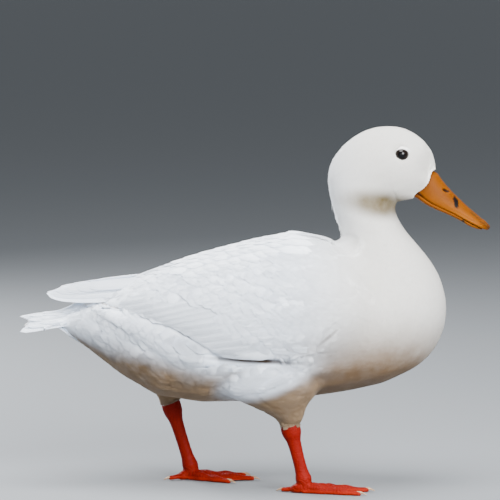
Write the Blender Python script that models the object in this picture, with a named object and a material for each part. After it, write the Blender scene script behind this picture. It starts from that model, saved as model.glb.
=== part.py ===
"""A white farm duck in mid-step, life size, as a museum model.

Run it with: blender --background --python part.py
The bird faces +X and stands on z = 0, with the origin under the middle of its bounding box.
One loft runs from the root of the tail through the trunk, neck and head. It is parted by thin cuts,
and every piece that sits in another has a pocket cut for it with a little clearance.
"""

import math

import bmesh
import bpy
from mathutils import Vector

MM = 0.001

# Driving dimensions, in millimetres.
CLEARANCE = 0.45          # how far a pocket stands off the piece that sits in it
PARTING = 0.4             # width of the thin cuts between trunk, neck and head
BODY_SIDES = 20           # corners of each cut across the body
FINE_FROM = 9             # from this cut on, towards the neck and head, the rings lie twice as close
NECK_CUT = ((76, 221), (168, 172))   # the cut from back line to breast line, trunk to neck
HEAD_CUT = ((65, 268), (124, 246))   # the cut from nape to throat, neck to head
EYE_RADIUS = 6.2
EYE_PLACE = (129, 16.8, 294.4)
FOOT_SPREAD = 42          # each foot stands this far from the middle plane
TOE_IN = math.radians(6)

# Cuts across the bird from tail to bill: where each meets the back line (x, z) and the breast line
# (x, z), half its width, how much lower than its middle it is widest, and how square its corners are.
BODY_CUTS = (
    ((-166, 158), (-168, 136), 15, 0.00, 2.0),   # root of the tail
    ((-143, 168), (-146, 123), 31, 0.00, 2.1),   # vent
    ((-116, 180), (-117, 100), 47, 0.00, 2.1),   # rump
    ((-85, 192), (-86, 81.5), 60, 0.00, 2.2),      # behind the thighs
    ((-45, 205.5), (-46, 75.5), 70, 0.02, 2.2),
    ((0, 217.5), (0, 76.5), 76, 0.04, 2.2),          # loins
    ((35, 224.5), (42, 79.5), 77, 0.05, 2.2),        # saddle
    ((58, 222.5), (82, 85), 74, 0.06, 2.2),        # shoulders
    ((70, 218.5), (114, 92), 69, 0.08, 2.2),
    ((76, 217), (140, 104), 62, 0.10, 2.1),      # keel
    ((77.5, 218), (159, 121), 55, 0.12, 2.1),
    ((77.5, 220), (169, 145), 48, 0.12, 2.1),    # breast
    ((76, 225), (169, 170), 41, 0.08, 2.0),
    ((74, 232), (161, 192), 35.5, 0.04, 2.0),
    ((71, 241), (147, 211), 31, 0.00, 2.0),      # foot of the neck
    ((68, 252), (133, 227), 27.5, 0.00, 2.0),
    ((65.5, 264), (125.5, 240), 25.5, 0.00, 2.0),
    ((65, 276), (124, 248.5), 25, 0.02, 2.0),    # nape and throat
    ((69, 289), (126.5, 252), 25, 0.06, 2.0),
    ((80, 303), (130, 253), 25.2, 0.10, 2.1),
    ((96, 314), (133.5, 253.2), 25, 0.13, 2.1),  # crown and cheeks
    ((114, 318.5), (136.5, 253.5), 23.8, 0.15, 2.1),
    ((133, 316.3), (139, 254), 21.6, 0.17, 2.1),
    ((149, 306), (140.5, 254.3), 18.4, 0.18, 2.1), # brow
    ((158.5, 292), (141.7, 254.8), 15.4, 0.14, 2.1),
    ((163.5, 280.2), (142.8, 255.4), 13.1, 0.08, 2.1),   # feathered edge round the bill
)

# The bill's upper half: ridge (x, z), cutting edge (x, z) and half width.
UPPER_BILL_CUTS = (
    ((150, 281), (137, 263.5), 9.5),     # hidden in the face
    ((160, 277.8), (145, 258.8), 11.7),
    ((166, 270.3), (153, 252.6), 13.2),
    ((172, 263.3), (160.5, 248.6), 13.2),
    ((178, 257.2), (168, 245.2), 13.2),
    ((184, 251.4), (175.5, 241.8), 13.8),
    ((190, 246.0), (183, 237.8), 14.6),
    ((195.5, 241.4), (190, 234.0), 15.0),  # the broad tip
    ((200.5, 237.0), (196, 231.0), 14.1),
    ((204.5, 233.2), (201, 228.7), 11.0),
    ((207.0, 230.6), (204.8, 227.4), 5.6),  # the nail
)

# The lower half: its top face (x, z), its underside (x, z) and half width.
LOWER_BILL_CUTS = (
    ((136.5, 261.0), (135.5, 257.8), 8.0),  # hidden in the chin
    ((144.3, 258.1), (142.4, 255.2), 10.2),
    ((152.4, 252.3), (150.4, 249.6), 11.4),
    ((160.0, 248.3), (158.2, 245.6), 11.6),
    ((167.5, 244.7), (166.0, 242.2), 11.6),
    ((175.2, 241.0), (173.9, 238.6), 12.0),
    ((182.7, 236.9), (181.6, 234.6), 12.4),
    ((189.7, 232.9), (188.6, 230.4), 12.4),
    ((195.6, 229.9), (194.8, 227.9), 11.0),
    ((199.8, 228.0), (199.3, 226.7), 7.0),
)

# A folded wing over the body's cuts: place along the table above, the angles from the back line at
# which its upper and lower edges lie, and how far its outer face stands off the body.
WING_CUTS = (
    (0.75, 4, 14, 1.0),      # under the long quills
    (1.2, 4, 26, 2.6),
    (2.0, 5, 52, 4.6),
    (3.0, 6, 76, 5.8),
    (4.0, 7, 97, 6.8),
    (5.0, 8, 109, 7.4),      # deepest
    (6.0, 9, 113, 7.4),
    (6.8, 13, 106, 6.6),
    (7.6, 22, 95, 5.4),
    (8.4, 34, 84, 3.8),
    (9.0, 46, 72, 1.6),      # bend of the wing, under the breast feathers
)
WING_SUNK = 7.0              # how deep the wing sits in the body's side

# The long quills that reach back over the tail: centre (x, y, z), half width, half thickness, roll.
QUILL_CUTS = (
    ((-70, 33, 184), 9, 2.2, 46),
    ((-95, 29, 179.7), 12, 2.6, 42),
    ((-120, 23.5, 176.6), 12.5, 2.6, 38),
    ((-140, 18, 174.4), 11.8, 2.4, 34),
    ((-156, 13.5, 173.4), 9.8, 2.1, 32),
    ((-169, 10.5, 173.3), 7.2, 1.7, 30),
    ((-178, 8.6, 172.8), 4.2, 1.3, 28),
    ((-182.3, 7.7, 172.6), 1.4, 0.8, 28),
)

# The tail: a low tent of quills, with a point for each.
TAIL_ROOT_X, TAIL_ROOT_Z = -146, 149
TAIL_QUILLS = 9
TAIL_TIP_X, TAIL_TIP_Z = -207, 148
TAIL_HALF_WIDTH = (15, 31)      # at root and tip
TAIL_DROOP = (4, 10)            # how much lower its edges hang than its ridge, at root and tip
TAIL_THICKNESS = (20, 2.0)      # at root and tip
TAIL_SWEEP = 9                  # how much shorter the outermost quills are
TAIL_NOTCH = 7.5                # depth of the notch between two points

# Feathered thighs: height, back and front edge (x), middle (y) and half width, from the top down.
NEAR_THIGH_CUTS = (
    (122, -18, 56, 41, 24),
    (108, -27, 61, 43, 27),
    (95, -29, 60, 44, 26),
    (85, -22, 53, 44.5, 22),
    (77, -3, 46, 44, 16.5),
    (69, 14, 43.5, 43, 12),
    (61.5, 23.5, 41.5, 42.3, 8.8),
)
FAR_THIGH_CUTS = (
    (124, -82, -6, 38, 22),
    (110, -92, -10, 40, 25),
    (98, -97, -20, 41.5, 23),
    (89, -97, -36, 42.3, 18.5),
    (82, -93, -50, 42.3, 14),
    (76, -86, -60, 42, 10.5),
    (71, -81.5, -64.5, 42, 8.4),
)

# Each leg: its side (+1 is the bird's left), hock (x, z), foot joint (x, z) and thigh.
LEGS = {
    "right": (-1, (32.5, 55), (44, 10), NEAR_THIGH_CUTS),
    "left": (1, (-73, 64.5), (-56, 10), FAR_THIGH_CUTS),
}
# Along the shank from hock to foot: share of the way, half depth (fore and aft), half width.
SHANK_CUTS = (
    (-0.20, 6.6, 6.0),
    (-0.06, 8.4, 7.2),       # swelling of the hock
    (0.07, 8.0, 6.8),
    (0.22, 5.9, 4.9),
    (0.50, 5.2, 4.2),
    (0.78, 5.4, 4.6),
    (0.93, 6.8, 6.2),        # swelling at the toes' root
    (1.04, 6.2, 5.8),
)
# Toes: name, angle off straight ahead (towards the other foot is +), length, root and tip radius.
TOES = (
    ("inner", 27, 47, 3.9, 2.5),
    ("middle", 0, 61, 4.3, 2.6),
    ("outer", -25, 56, 4.0, 2.5),
)
HIND_TOE = (152, 17, 2.9, 1.9)   # angle, length, root and tip radius
HIND_TOE_HEIGHT = 2.2            # height of its middle line over the floor, at its tip
ANKLE_BALL = 5.2                 # radius of the ball where toes and shank meet
TOE_KNUCKLES = 3
TOE_PLACES = (-1, -0.6, 0, 0.6, 1)   # lines along a toe, in half widths off its middle
WEB_PLACES = (0.33, 0.67)            # lines along the web between two toes
TOE_ROWS = (0, 0.22, 0.42, 0.6, 0.78, 0.92, 1)
FAN_START = 3                    # the toes' lines start this far from the ball's middle
FAN_TOP = 9.5                    # height of the fan at that start
WEB_TOP, WEB_UNDER = 2.3, 0.8    # heights of the web's two faces over the floor
WEB_SCALLOP = 0.17               # how far the web's front edge draws back between two toes
CLAW_LENGTH, CLAW_RADIUS = 8.5, 1.6
CLAW_HEIGHT = 2.4                # height of a claw's root over the floor

COLOURS = {  # red, green, blue, roughness
    "plumage": (0.86, 0.86, 0.84, 0.8),
    "bill": (0.86, 0.36, 0.04, 0.4),
    "legs": (0.72, 0.13, 0.04, 0.5),
    "claws": (0.55, 0.36, 0.22, 0.45),
    "eyes": (0.012, 0.008, 0.006, 0.08),
}


def clear_scene():
    for old in list(bpy.data.objects):
        bpy.data.objects.remove(old, do_unlink=True)


def material(name):
    """The Principled material of one finish, made once."""
    found = bpy.data.materials.get(name)
    if found:
        return found
    made = bpy.data.materials.new(name)
    made.use_nodes = True
    red, green, blue, roughness = COLOURS[name]
    shader = made.node_tree.nodes["Principled BSDF"]
    shader.inputs["Base Color"].default_value = (red, green, blue, 1)
    shader.inputs["Roughness"].default_value = roughness
    shader.inputs["Metallic"].default_value = 0
    made.diffuse_color = (red, green, blue, 1)
    return made


def smoothstep(low, high, value):
    share = min(1, max(0, (value - low) / (high - low)))
    return share * share * (3 - 2 * share)


def body_cut(place):
    """The body's cut at a place that may lie between two rows, on a smooth curve through them."""
    numbers = [(*back, *breast, *sizes) for back, breast, *sizes in BODY_CUTS]
    last = len(numbers) - 1
    start = min(last - 1, max(0, math.floor(place)))
    t = place - start
    before, here, there, after = (
        numbers[min(last, max(0, start + step))] for step in (-1, 0, 1, 2)
    )
    return [
        0.5 * (2 * b + (c - a) * t + (2 * a - 5 * b + 4 * c - d) * t**2
               + (3 * b - a - 3 * c + d) * t**3)
        for a, b, c, d in zip(before, here, there, after)
    ]


def loft(name, rings, finish):
    """A closed object through rings of equal length, each end closed by a fan to its middle."""
    shape = bmesh.new()
    loops = [[shape.verts.new(point * MM) for point in ring] for ring in rings]
    count = len(loops[0])
    for ring, following in zip(loops, loops[1:]):
        for i in range(count):
            j = (i + 1) % count
            shape.faces.new((ring[i], ring[j], following[j], following[i]))
    for loop in (loops[0], loops[-1]):
        middle = sum((v.co for v in loop), Vector()) / count
        hub = shape.verts.new(middle)
        for i in range(count):
            shape.faces.new((loop[i], loop[(i + 1) % count], hub))
    return closed_object(name, shape, finish)


def closed_object(name, shape, finish):
    """Turns a bmesh into a smooth-shaded object of triangles, its origin in its own middle."""
    middle = sum((vertex.co for vertex in shape.verts), Vector()) / len(shape.verts)
    bmesh.ops.translate(shape, verts=shape.verts, vec=-middle)
    bmesh.ops.triangulate(shape, faces=shape.faces)
    bmesh.ops.recalc_face_normals(shape, faces=shape.faces)
    mesh = bpy.data.meshes.new(name)
    shape.to_mesh(mesh)
    shape.free()
    mesh.shade_smooth()
    mesh.set_sharp_from_angle(angle=math.radians(50))
    mesh.materials.append(material(finish))
    made = bpy.data.objects.new(name, mesh)
    made.location = middle
    bpy.context.scene.collection.objects.link(made)
    return made


def close_layers(shape, upper, lower):
    """Faces for two grids of points, one over the other, and for the rim that joins them."""
    rows, columns = len(upper) - 1, len(upper[0]) - 1
    for grid in (upper, lower):
        for row in range(rows):
            for column in range(columns):
                shape.faces.new((grid[row][column], grid[row][column + 1],
                                 grid[row + 1][column + 1], grid[row + 1][column]))
    rim = [(0, column) for column in range(columns + 1)]
    rim += [(row, columns) for row in range(1, rows + 1)]
    rim += [(rows, column) for column in reversed(range(columns))]
    rim += [(row, 0) for row in reversed(range(1, rows))]
    for (r, c), (s, d) in zip(rim, rim[1:] + rim[:1]):
        shape.faces.new((upper[r][c], upper[s][d], lower[s][d], lower[r][c]))


def helper(piece, name, grow=0.0):
    """A hidden copy of a piece that cuts or joins another, grown all over by that many millimetres."""
    cutter = bpy.data.objects.new(name, piece.data.copy())
    cutter.location = piece.location
    bpy.context.scene.collection.objects.link(cutter)
    if grow:
        shape = bmesh.new()
        shape.from_mesh(cutter.data)
        shape.normal_update()
        for vertex in shape.verts:
            vertex.co += vertex.normal * (grow * MM)
        shape.to_mesh(cutter.data)
        shape.free()
    cutter.hide_render = True
    cutter.display_type = "WIRE"
    return cutter


def boolean(piece, other, operation):
    step = piece.modifiers.new(f"{operation.lower()}_{other.name}", "BOOLEAN")
    step.operation = operation
    step.object = other
    step.solver = "EXACT"


def pocket(piece, guest):
    """Cuts a pocket in the piece in which the guest sits with clearance all round."""
    boolean(piece, helper(guest, f"pocket_{piece.name}_{guest.name}", CLEARANCE), "DIFFERENCE")


def body_point(place, angle, off=0.0):
    """A point on the body: place along its cuts, angle from the back line, distance off it."""
    back_x, back_z, breast_x, breast_z, half_width, low, square = body_cut(place)
    back = Vector((back_x, 0, back_z))
    breast = Vector((breast_x, 0, breast_z))
    middle = (back + breast) / 2
    up = (back - breast) / 2
    half_height = up.length + off
    up.normalize()
    c, s = math.cos(angle), math.sin(angle)
    rise = math.copysign(abs(c) ** (2 / square), c) * half_height
    reach = math.copysign(abs(s) ** (2 / square), s) * (half_width + off) * (1 - low * c)
    return middle + up * rise + Vector((0, reach, 0))


def body_ring(place):
    step = 2 * math.pi / BODY_SIDES
    return [body_point(place, i * step) for i in range(BODY_SIDES)]


def part_off(piece, cut, keep_front, shift):
    """Cuts the piece along a line from back to breast and keeps the side towards head or tail."""
    (back_x, back_z), (breast_x, breast_z) = cut
    along = Vector((breast_x - back_x, 0, breast_z - back_z)).normalized()
    forward = Vector((-along.z, 0, along.x))
    if forward.z < 0:
        forward.negate()
    point = Vector((back_x, 0, back_z)) + forward * shift
    shape = bmesh.new()
    shape.from_mesh(piece.data)
    bmesh.ops.bisect_plane(
        shape,
        geom=list(shape.verts) + list(shape.edges) + list(shape.faces),
        dist=1e-7,
        plane_co=point * MM - piece.location,
        plane_no=forward,
        clear_outer=not keep_front,
        clear_inner=keep_front,
    )
    rim = [edge for edge in shape.edges if edge.is_boundary]
    bmesh.ops.holes_fill(shape, edges=rim)
    bmesh.ops.triangulate(shape, faces=[f for f in shape.faces if len(f.verts) > 4])
    bmesh.ops.recalc_face_normals(shape, faces=shape.faces)
    shape.to_mesh(piece.data)
    shape.free()


def body():
    """Trunk, neck and head: one loft, parted by two thin cuts."""
    last = len(BODY_CUTS) - 1
    coarse = list(range(FINE_FROM))
    fine = [FINE_FROM + half / 2 for half in range(2 * (last - FINE_FROM) + 1)]
    rings = [body_ring(place) for place in coarse + fine]
    trunk, neck, head = (loft(name, rings, "plumage") for name in ("trunk", "neck", "head"))
    half = PARTING / 2
    part_off(trunk, NECK_CUT, False, -half)
    part_off(neck, NECK_CUT, True, half)
    part_off(neck, HEAD_CUT, False, -half)
    part_off(head, HEAD_CUT, True, half)
    return trunk, neck, head


def upper_bill():
    """The upper half of the bill: arched above, flat below with a low hollow."""
    arch_steps, floor_steps = 12, 2
    rings = []
    for (ridge_x, ridge_z), (edge_x, edge_z), half_width in UPPER_BILL_CUTS:
        ridge, edge = Vector((ridge_x, 0, ridge_z)), Vector((edge_x, 0, edge_z))
        up = ridge - edge
        ring = []
        for i in range(arch_steps + 1):
            angle = math.pi * (i / arch_steps - 0.5)
            side = math.copysign(abs(math.sin(angle)) ** 0.9, angle) * half_width
            ring.append(edge + up * (0.10 + 0.90 * math.cos(angle) ** 0.85) + Vector((0, side, 0)))
        for i in range(floor_steps + 1):
            side = half_width * 0.97 * (1 - 2 * i / floor_steps)
            hollow = 0.14 * (1 - (side / half_width) ** 2)
            ring.append(edge + up * hollow + Vector((0, side, 0)))
        rings.append(ring)
    return loft("bill_upper", rings, "bill")


def lower_bill():
    """The lower half: a shallow trough, narrower than the upper half, that lies under it."""
    sides = 12
    rings = []
    for (top_x, top_z), (base_x, base_z), half_width in LOWER_BILL_CUTS:
        top, base = Vector((top_x, 0, top_z)), Vector((base_x, 0, base_z))
        middle, up = (top + base) / 2, (top - base) / 2
        ring = []
        for i in range(sides):
            angle = 2 * math.pi * i / sides
            c, s = math.cos(angle), math.sin(angle)
            rise = math.copysign(abs(c) ** 0.7, c)
            side = math.copysign(abs(s) ** 0.75, s) * half_width
            ring.append(middle + up * rise + Vector((0, side, 0)))
        rings.append(ring)
    return loft("bill_lower", rings, "bill")


def eye(side):
    name = "eye_left" if side > 0 else "eye_right"
    x, y, z = EYE_PLACE
    shape = bmesh.new()
    bmesh.ops.create_uvsphere(shape, u_segments=12, v_segments=7, radius=EYE_RADIUS * MM)
    bmesh.ops.translate(shape, verts=shape.verts, vec=Vector((x, side * y, z)) * MM)
    return closed_object(name, shape, "eyes")


def wing(side):
    """The folded wing: a curved lens over the body's side, whose lower edge hangs a little free."""
    across = 8
    rings = []
    for order, (along, upper, lower, proud) in enumerate(WING_CUTS):
        upper, lower = math.radians(upper), math.radians(lower)
        end = math.sqrt(max(0.0, 1 - abs(2 * order / (len(WING_CUTS) - 1) - 1) ** 6))
        sunk = WING_SUNK * max(0.15, end)
        ring = []
        for i in range(across):
            share = i / (across - 1)
            round_off = 1 - abs(2 * share - 1) ** 5
            off = proud * (0.45 + 0.55 * smoothstep(0, 0.5, share)) * (0.55 + 0.45 * round_off)
            ring.append(body_point(along, side * (upper + (lower - upper) * share), off))
        for i in range(across):
            share = 1 - (i + 0.5) / across
            free = smoothstep(0.80, 1.0, share) * (0.30 * proud + sunk)
            edge = smoothstep(0.0, 0.12, share)
            off = -sunk * edge + free
            ring.append(body_point(along, side * (upper + (lower - upper) * share), off))
        rings.append(ring)
    return loft("wing_left" if side > 0 else "wing_right", rings, "plumage")


def primaries(side):
    """The stack of long wing quills that lies over the rump and ends in one blunt point."""
    sides = 10
    rings = []
    for (x, y, z), half_width, half_thickness, roll in QUILL_CUTS:
        roll = math.radians(roll)
        wide = Vector((0, side * math.cos(roll), -math.sin(roll)))
        thick = Vector((0, side * math.sin(roll), math.cos(roll)))
        middle = Vector((x, side * y, z))
        ring = []
        for i in range(sides):
            angle = 2 * math.pi * i / sides
            ring.append(
                middle + wide * (max(0.8, half_width) * math.cos(angle))
                + thick * (max(0.5, half_thickness) * math.sin(angle))
            )
        rings.append(ring)
    return loft("primaries_left" if side > 0 else "primaries_right", rings, "plumage")


def tail():
    """The tail fan: a thin tent whose rear edge has one point for each quill."""
    columns, rows = 2 * TAIL_QUILLS, 4
    shape = bmesh.new()
    top, under = [], []
    for row in range(rows + 1):
        top.append([])
        under.append([])
        along = row / rows
        half_width = TAIL_HALF_WIDTH[0] + (TAIL_HALF_WIDTH[1] - TAIL_HALF_WIDTH[0]) * along
        droop = TAIL_DROOP[0] + (TAIL_DROOP[1] - TAIL_DROOP[0]) * along
        thin = (1 - along) ** 1.6
        thickness = TAIL_THICKNESS[1] + (TAIL_THICKNESS[0] - TAIL_THICKNESS[1]) * thin
        ridge_z = TAIL_ROOT_Z + (TAIL_TIP_Z - TAIL_ROOT_Z) * along + 3 * math.sin(math.pi * along)
        for column in range(columns + 1):
            across = 2 * column / columns - 1
            tip_x = TAIL_TIP_X + TAIL_SWEEP * across**2 + TAIL_NOTCH * (column % 2 == 0)
            x = TAIL_ROOT_X + (tip_x - TAIL_ROOT_X) * along
            z = ridge_z - droop * across**2
            edge = math.sqrt(max(0.04, 1 - across**4))
            for layer, sign in ((top, 1), (under, -1)):
                place = Vector((x, half_width * across, z + sign * thickness / 2 * edge))
                layer[-1].append(shape.verts.new(place * MM))
    close_layers(shape, top, under)
    return closed_object("tail", shape, "plumage")


def thigh(label, side, cuts):
    """The feathered upper leg: a soft cone from the belly down to the hock."""
    sides = 15
    rings = []
    for z, back, front, middle_y, half_width in cuts:
        ring = []
        for i in range(sides):
            angle = 2 * math.pi * i / sides
            x = (back + front) / 2 + (front - back) / 2 * math.cos(angle)
            ring.append(Vector((x, side * middle_y + half_width * math.sin(angle), z)))
        rings.append(ring)
    return loft(f"thigh_{label}", rings, "plumage")


def shank(label, side, hock, joint):
    """The bare leg from hock to toes, swollen at both ends."""
    sides = 12
    top = Vector((hock[0], side * FOOT_SPREAD, hock[1]))
    foot = Vector((joint[0], side * FOOT_SPREAD, joint[1]))
    down = (foot - top).normalized()
    fore = Vector((0, 1, 0)).cross(down).normalized()
    rings = []
    for share, half_depth, half_width in SHANK_CUTS:
        middle = top.lerp(foot, share)
        ring = []
        for i in range(sides):
            angle = 2 * math.pi * i / sides
            ring.append(
                middle + fore * (half_depth * math.cos(angle))
                + Vector((0, half_width * math.sin(angle), 0))
            )
        rings.append(ring)
    return loft(f"shank_{label}", rings, "legs")


def toe_direction(side, degrees):
    """Level direction of a toe. A positive angle turns towards the other foot."""
    turn = math.radians(degrees) + TOE_IN
    return Vector((math.cos(turn), -side * math.sin(turn), 0))


def toe_edge(start, side, order, distance, place):
    """A point beside a toe's middle line, at a distance along it, and the toe's half width there."""
    _, degrees, length, root, tip = TOES[order]
    share = min(1, distance / length)
    half = root + (tip - root) * share
    half *= 1 + 0.10 * math.cos(2 * math.pi * TOE_KNUCKLES * share)
    reach = half
    neighbour = order + (1 if place > 0 else -1)
    if place and 0 <= neighbour < len(TOES):
        gap = math.radians(abs(degrees - TOES[neighbour][1])) / 2
        reach = min(half, 0.8 * distance * math.tan(gap))
    across = toe_direction(side, degrees - 90)
    return start + toe_direction(side, degrees) * distance + across * (reach * place), half


def toe_point(start, side, order, place, share):
    """Place, top and underside of one point on a toe."""
    length = TOES[order][2] - 4.5 * abs(place) ** 3
    distance = FAN_START + (length - FAN_START) * share
    point, half = toe_edge(start, side, order, distance, place)
    ridge = half * (1.9 - 0.9 * place**2) if abs(place) < 1 else WEB_TOP
    return point, ridge * (1 - 0.4 * share**8), WEB_UNDER * abs(place) ** 3


def web_point(start, side, order, place, share):
    """Place, top and underside of one point on the skin between a toe and the next."""
    length = TOES[order][2] + (TOES[order + 1][2] - TOES[order][2]) * place
    length *= 0.95 * (1 - WEB_SCALLOP * math.sin(math.pi * place))
    distance = FAN_START + (length - FAN_START) * share
    near, _ = toe_edge(start, side, order, distance, 1)
    far, _ = toe_edge(start, side, order + 1, distance, -1)
    return near.lerp(far, place), WEB_TOP, WEB_UNDER


def fan(name, start, side):
    """The three front toes and the web between them, with flat soles under the toes."""
    lines = []
    for order in range(len(TOES)):
        lines += [(toe_point, order, place) for place in TOE_PLACES]
        if order < len(TOES) - 1:
            lines += [(web_point, order, place) for place in WEB_PLACES]
    shape = bmesh.new()
    upper, lower = [], []
    for share in TOE_ROWS:
        upper.append([])
        lower.append([])
        for finder, order, place in lines:
            point, top, under = finder(start, side, order, place, share)
            top += (FAN_TOP - top) * (1 - share) ** 3
            upper[-1].append(shape.verts.new(Vector((point.x, point.y, top)) * MM))
            lower[-1].append(shape.verts.new(Vector((point.x, point.y, under)) * MM))
    close_layers(shape, upper, lower)
    return closed_object(name, shape, "legs")


def hind_toe(name, start, direction):
    """The ball under the shank and the small hind toe that grows back from it."""
    _, length, root, tip = HIND_TOE
    sides, steps = 8, 6
    front = start - direction * ANKLE_BALL
    across = Vector((0, 0, 1)).cross(direction)
    rings = []
    for step in range(steps + 1):
        share = step / steps
        radius = root + (tip - root) * share
        radius += (ANKLE_BALL - root) * max(0, 1 - (3 * share - 0.8) ** 2)
        middle = front + direction * ((length + ANKLE_BALL) * share)
        middle.z = HIND_TOE_HEIGHT + (start.z - HIND_TOE_HEIGHT) * (1 - share) ** 1.6
        ring = []
        for i in range(sides):
            angle = 2 * math.pi * (i + 0.5) / sides
            lift = Vector((0, 0, radius * math.sin(angle)))
            ring.append(middle + across * (radius * math.cos(angle)) + lift)
        rings.append(ring)
    return loft(name, rings, "legs")


def claw(name, root, direction):
    """A short blunt claw that runs on from a toe and curves down."""
    sides, steps = 6, 4
    across = Vector((0, 0, 1)).cross(direction)
    rings = []
    for step in range(steps + 1):
        share = step / steps
        radius = CLAW_RADIUS * (1 - 0.7 * share)
        middle = root + direction * (CLAW_LENGTH * share)
        middle.z = root.z + 0.6 * math.sin(math.pi * share) - (root.z - 0.9) * share**2
        ring = []
        for i in range(sides):
            angle = 2 * math.pi * i / sides
            lift = Vector((0, 0, radius * math.sin(angle)))
            ring.append(middle + across * (0.8 * radius * math.cos(angle)) + lift)
        rings.append(ring)
    return loft(name, rings, "claws")


def level_sole(piece):
    """Trims whatever of the foot lies under the floor."""
    width, depth = 300, 20
    shape = bmesh.new()
    bmesh.ops.create_cube(shape, size=1)
    bmesh.ops.scale(shape, verts=shape.verts, vec=Vector((width, width, depth)) * MM)
    bmesh.ops.translate(shape, verts=shape.verts, vec=Vector((0, 0, -depth / 2)) * MM)
    floor = closed_object(f"floor_{piece.name}", shape, "legs")
    floor.hide_render = True
    floor.display_type = "WIRE"
    boolean(piece, floor, "DIFFERENCE")


def foot(label, side, joint):
    """Three webbed toes and a small hind toe, joined in one piece, with a claw on each."""
    start = Vector((joint[0] - 4, side * FOOT_SPREAD, 6.2))
    made = fan(f"foot_{label}", start, side)
    name, degrees, length = "hind", *HIND_TOE[:2]
    back = hind_toe(f"toe_hind_{label}", start, toe_direction(side, degrees))
    back.hide_render = True
    back.display_type = "WIRE"
    boolean(made, back, "UNION")
    level_sole(made)
    claws = []
    for name, degrees, length in [row[:3] for row in TOES] + [(name, degrees, length)]:
        direction = toe_direction(side, degrees)
        root = start + direction * (length - 3.5)
        root.z = CLAW_HEIGHT
        claws.append(claw(f"claw_{name}_{label}", root, direction))
    for piece in claws:
        pocket(made, piece)
    return made, claws


def leg(trunk, label):
    side, hock, joint, cuts = LEGS[label]
    upper = thigh(label, side, cuts)
    lower = shank(label, side, hock, joint)
    sole, claws = foot(label, side, joint)
    pocket(trunk, upper)
    pocket(upper, lower)
    pocket(sole, lower)
    return [upper, lower, sole, *claws]


def duck():
    clear_scene()
    trunk, neck, head = body()
    pieces = [trunk, neck, head, upper_bill(), lower_bill(), tail()]
    pocket(head, pieces[3])
    pocket(head, pieces[4])
    pocket(trunk, pieces[5])
    for side in (1, -1):
        ball = eye(side)
        folded = wing(side)
        points = primaries(side)
        pocket(head, ball)
        pocket(folded, points)
        pocket(trunk, folded)
        pocket(trunk, points)
        pieces += [ball, folded, points]
    for label in LEGS:
        pieces += leg(trunk, label)
    stance = bpy.data.objects.new("duck_on_the_floor", None)
    bpy.context.scene.collection.objects.link(stance)
    for piece in pieces:
        piece.parent = stance


duck()
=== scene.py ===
import math

import bmesh
import bpy
import numpy as np
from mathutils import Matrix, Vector
from mathutils.bvhtree import BVHTree


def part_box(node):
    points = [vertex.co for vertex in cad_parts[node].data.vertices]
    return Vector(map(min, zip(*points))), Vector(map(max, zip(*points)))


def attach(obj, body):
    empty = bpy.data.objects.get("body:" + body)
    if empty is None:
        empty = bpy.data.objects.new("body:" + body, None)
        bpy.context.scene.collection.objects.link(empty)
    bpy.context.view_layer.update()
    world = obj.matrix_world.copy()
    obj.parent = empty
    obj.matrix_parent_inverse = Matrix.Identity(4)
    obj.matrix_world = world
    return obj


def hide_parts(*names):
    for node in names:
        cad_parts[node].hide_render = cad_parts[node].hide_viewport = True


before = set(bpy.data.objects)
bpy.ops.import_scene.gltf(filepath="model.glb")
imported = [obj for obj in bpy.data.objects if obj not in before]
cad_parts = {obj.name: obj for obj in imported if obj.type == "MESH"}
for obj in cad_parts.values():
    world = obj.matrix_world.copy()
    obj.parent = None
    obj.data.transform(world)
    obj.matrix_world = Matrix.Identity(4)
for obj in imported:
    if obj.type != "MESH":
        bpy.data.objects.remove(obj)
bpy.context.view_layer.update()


# ---- Skin ---------------------------------------------------------------------------------------
# The bird's own skin, one unbroken sheet over trunk, neck, head, wings and thighs. It is the flesh
# joined into one, smoothed, and drawn in by the depth of the feather coat, so that it hardly shows.
MM = 0.001
FLESH = ("trunk", "neck", "head", "wing_right", "wing_left", "thigh_right", "thigh_left")
TAIL_STUMP = -186          # the skin goes this far back (x) inside the tail
SKIN_GRAIN = 2.0           # mm between the points of the skin
SEAM_CLOSING = 0.9         # mm by which each solid swells so that the thin cuts close
SKIN_SMOOTHING, BROAD_SMOOTHING, FRONT_SMOOTHING = 7, 16, 40
# The line through the middle of the bird from tail to bill, side on (x, z), in mm.
SPINE = ((-215, 145), (-185, 146), (-150, 147), (-100, 142), (-40, 146), (20, 150), (70, 160),
         (98, 180), (106, 205), (101, 230), (97, 252), (101, 274), (116, 287), (137, 283), (158, 268),
         (185, 248))
# Depth of the coat in mm at the height of each point of that line.
COAT_DEPTH = (1.6, 1.8, 2.2, 2.8, 3.2, 3.2, 3.2, 3.0, 2.7, 2.3, 1.9, 1.5, 1.2, 1.0, 0.8, 0.8)
GAPE = (142, 261)          # corner of the mouth (x, z)
BILL_PITCH = math.radians(-29)
# Front edge of the feathers at the side of the bill: (height over the bill's axis, place along it).
FACE_EDGE = ((-8, 3.5), (-6, 2.0), (-1, 0.0), (2.1, 3.0), (4, 5.6), (7.9, 8.0), (12.8, 7.8),
             (18.7, 5.7), (24.5, 2.4), (30, 2.4))
FACE_FROM = 247            # height above which the face lies
CULMEN_WEDGE = (2.4, 12.6, 8.0)   # the feathers' wedge on top of the bill: from, to, half width
FOREHEAD_TAPER, FACE_SMOOTHING = 3.2, 5     # mm by which the forehead thins towards the culmen
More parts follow.
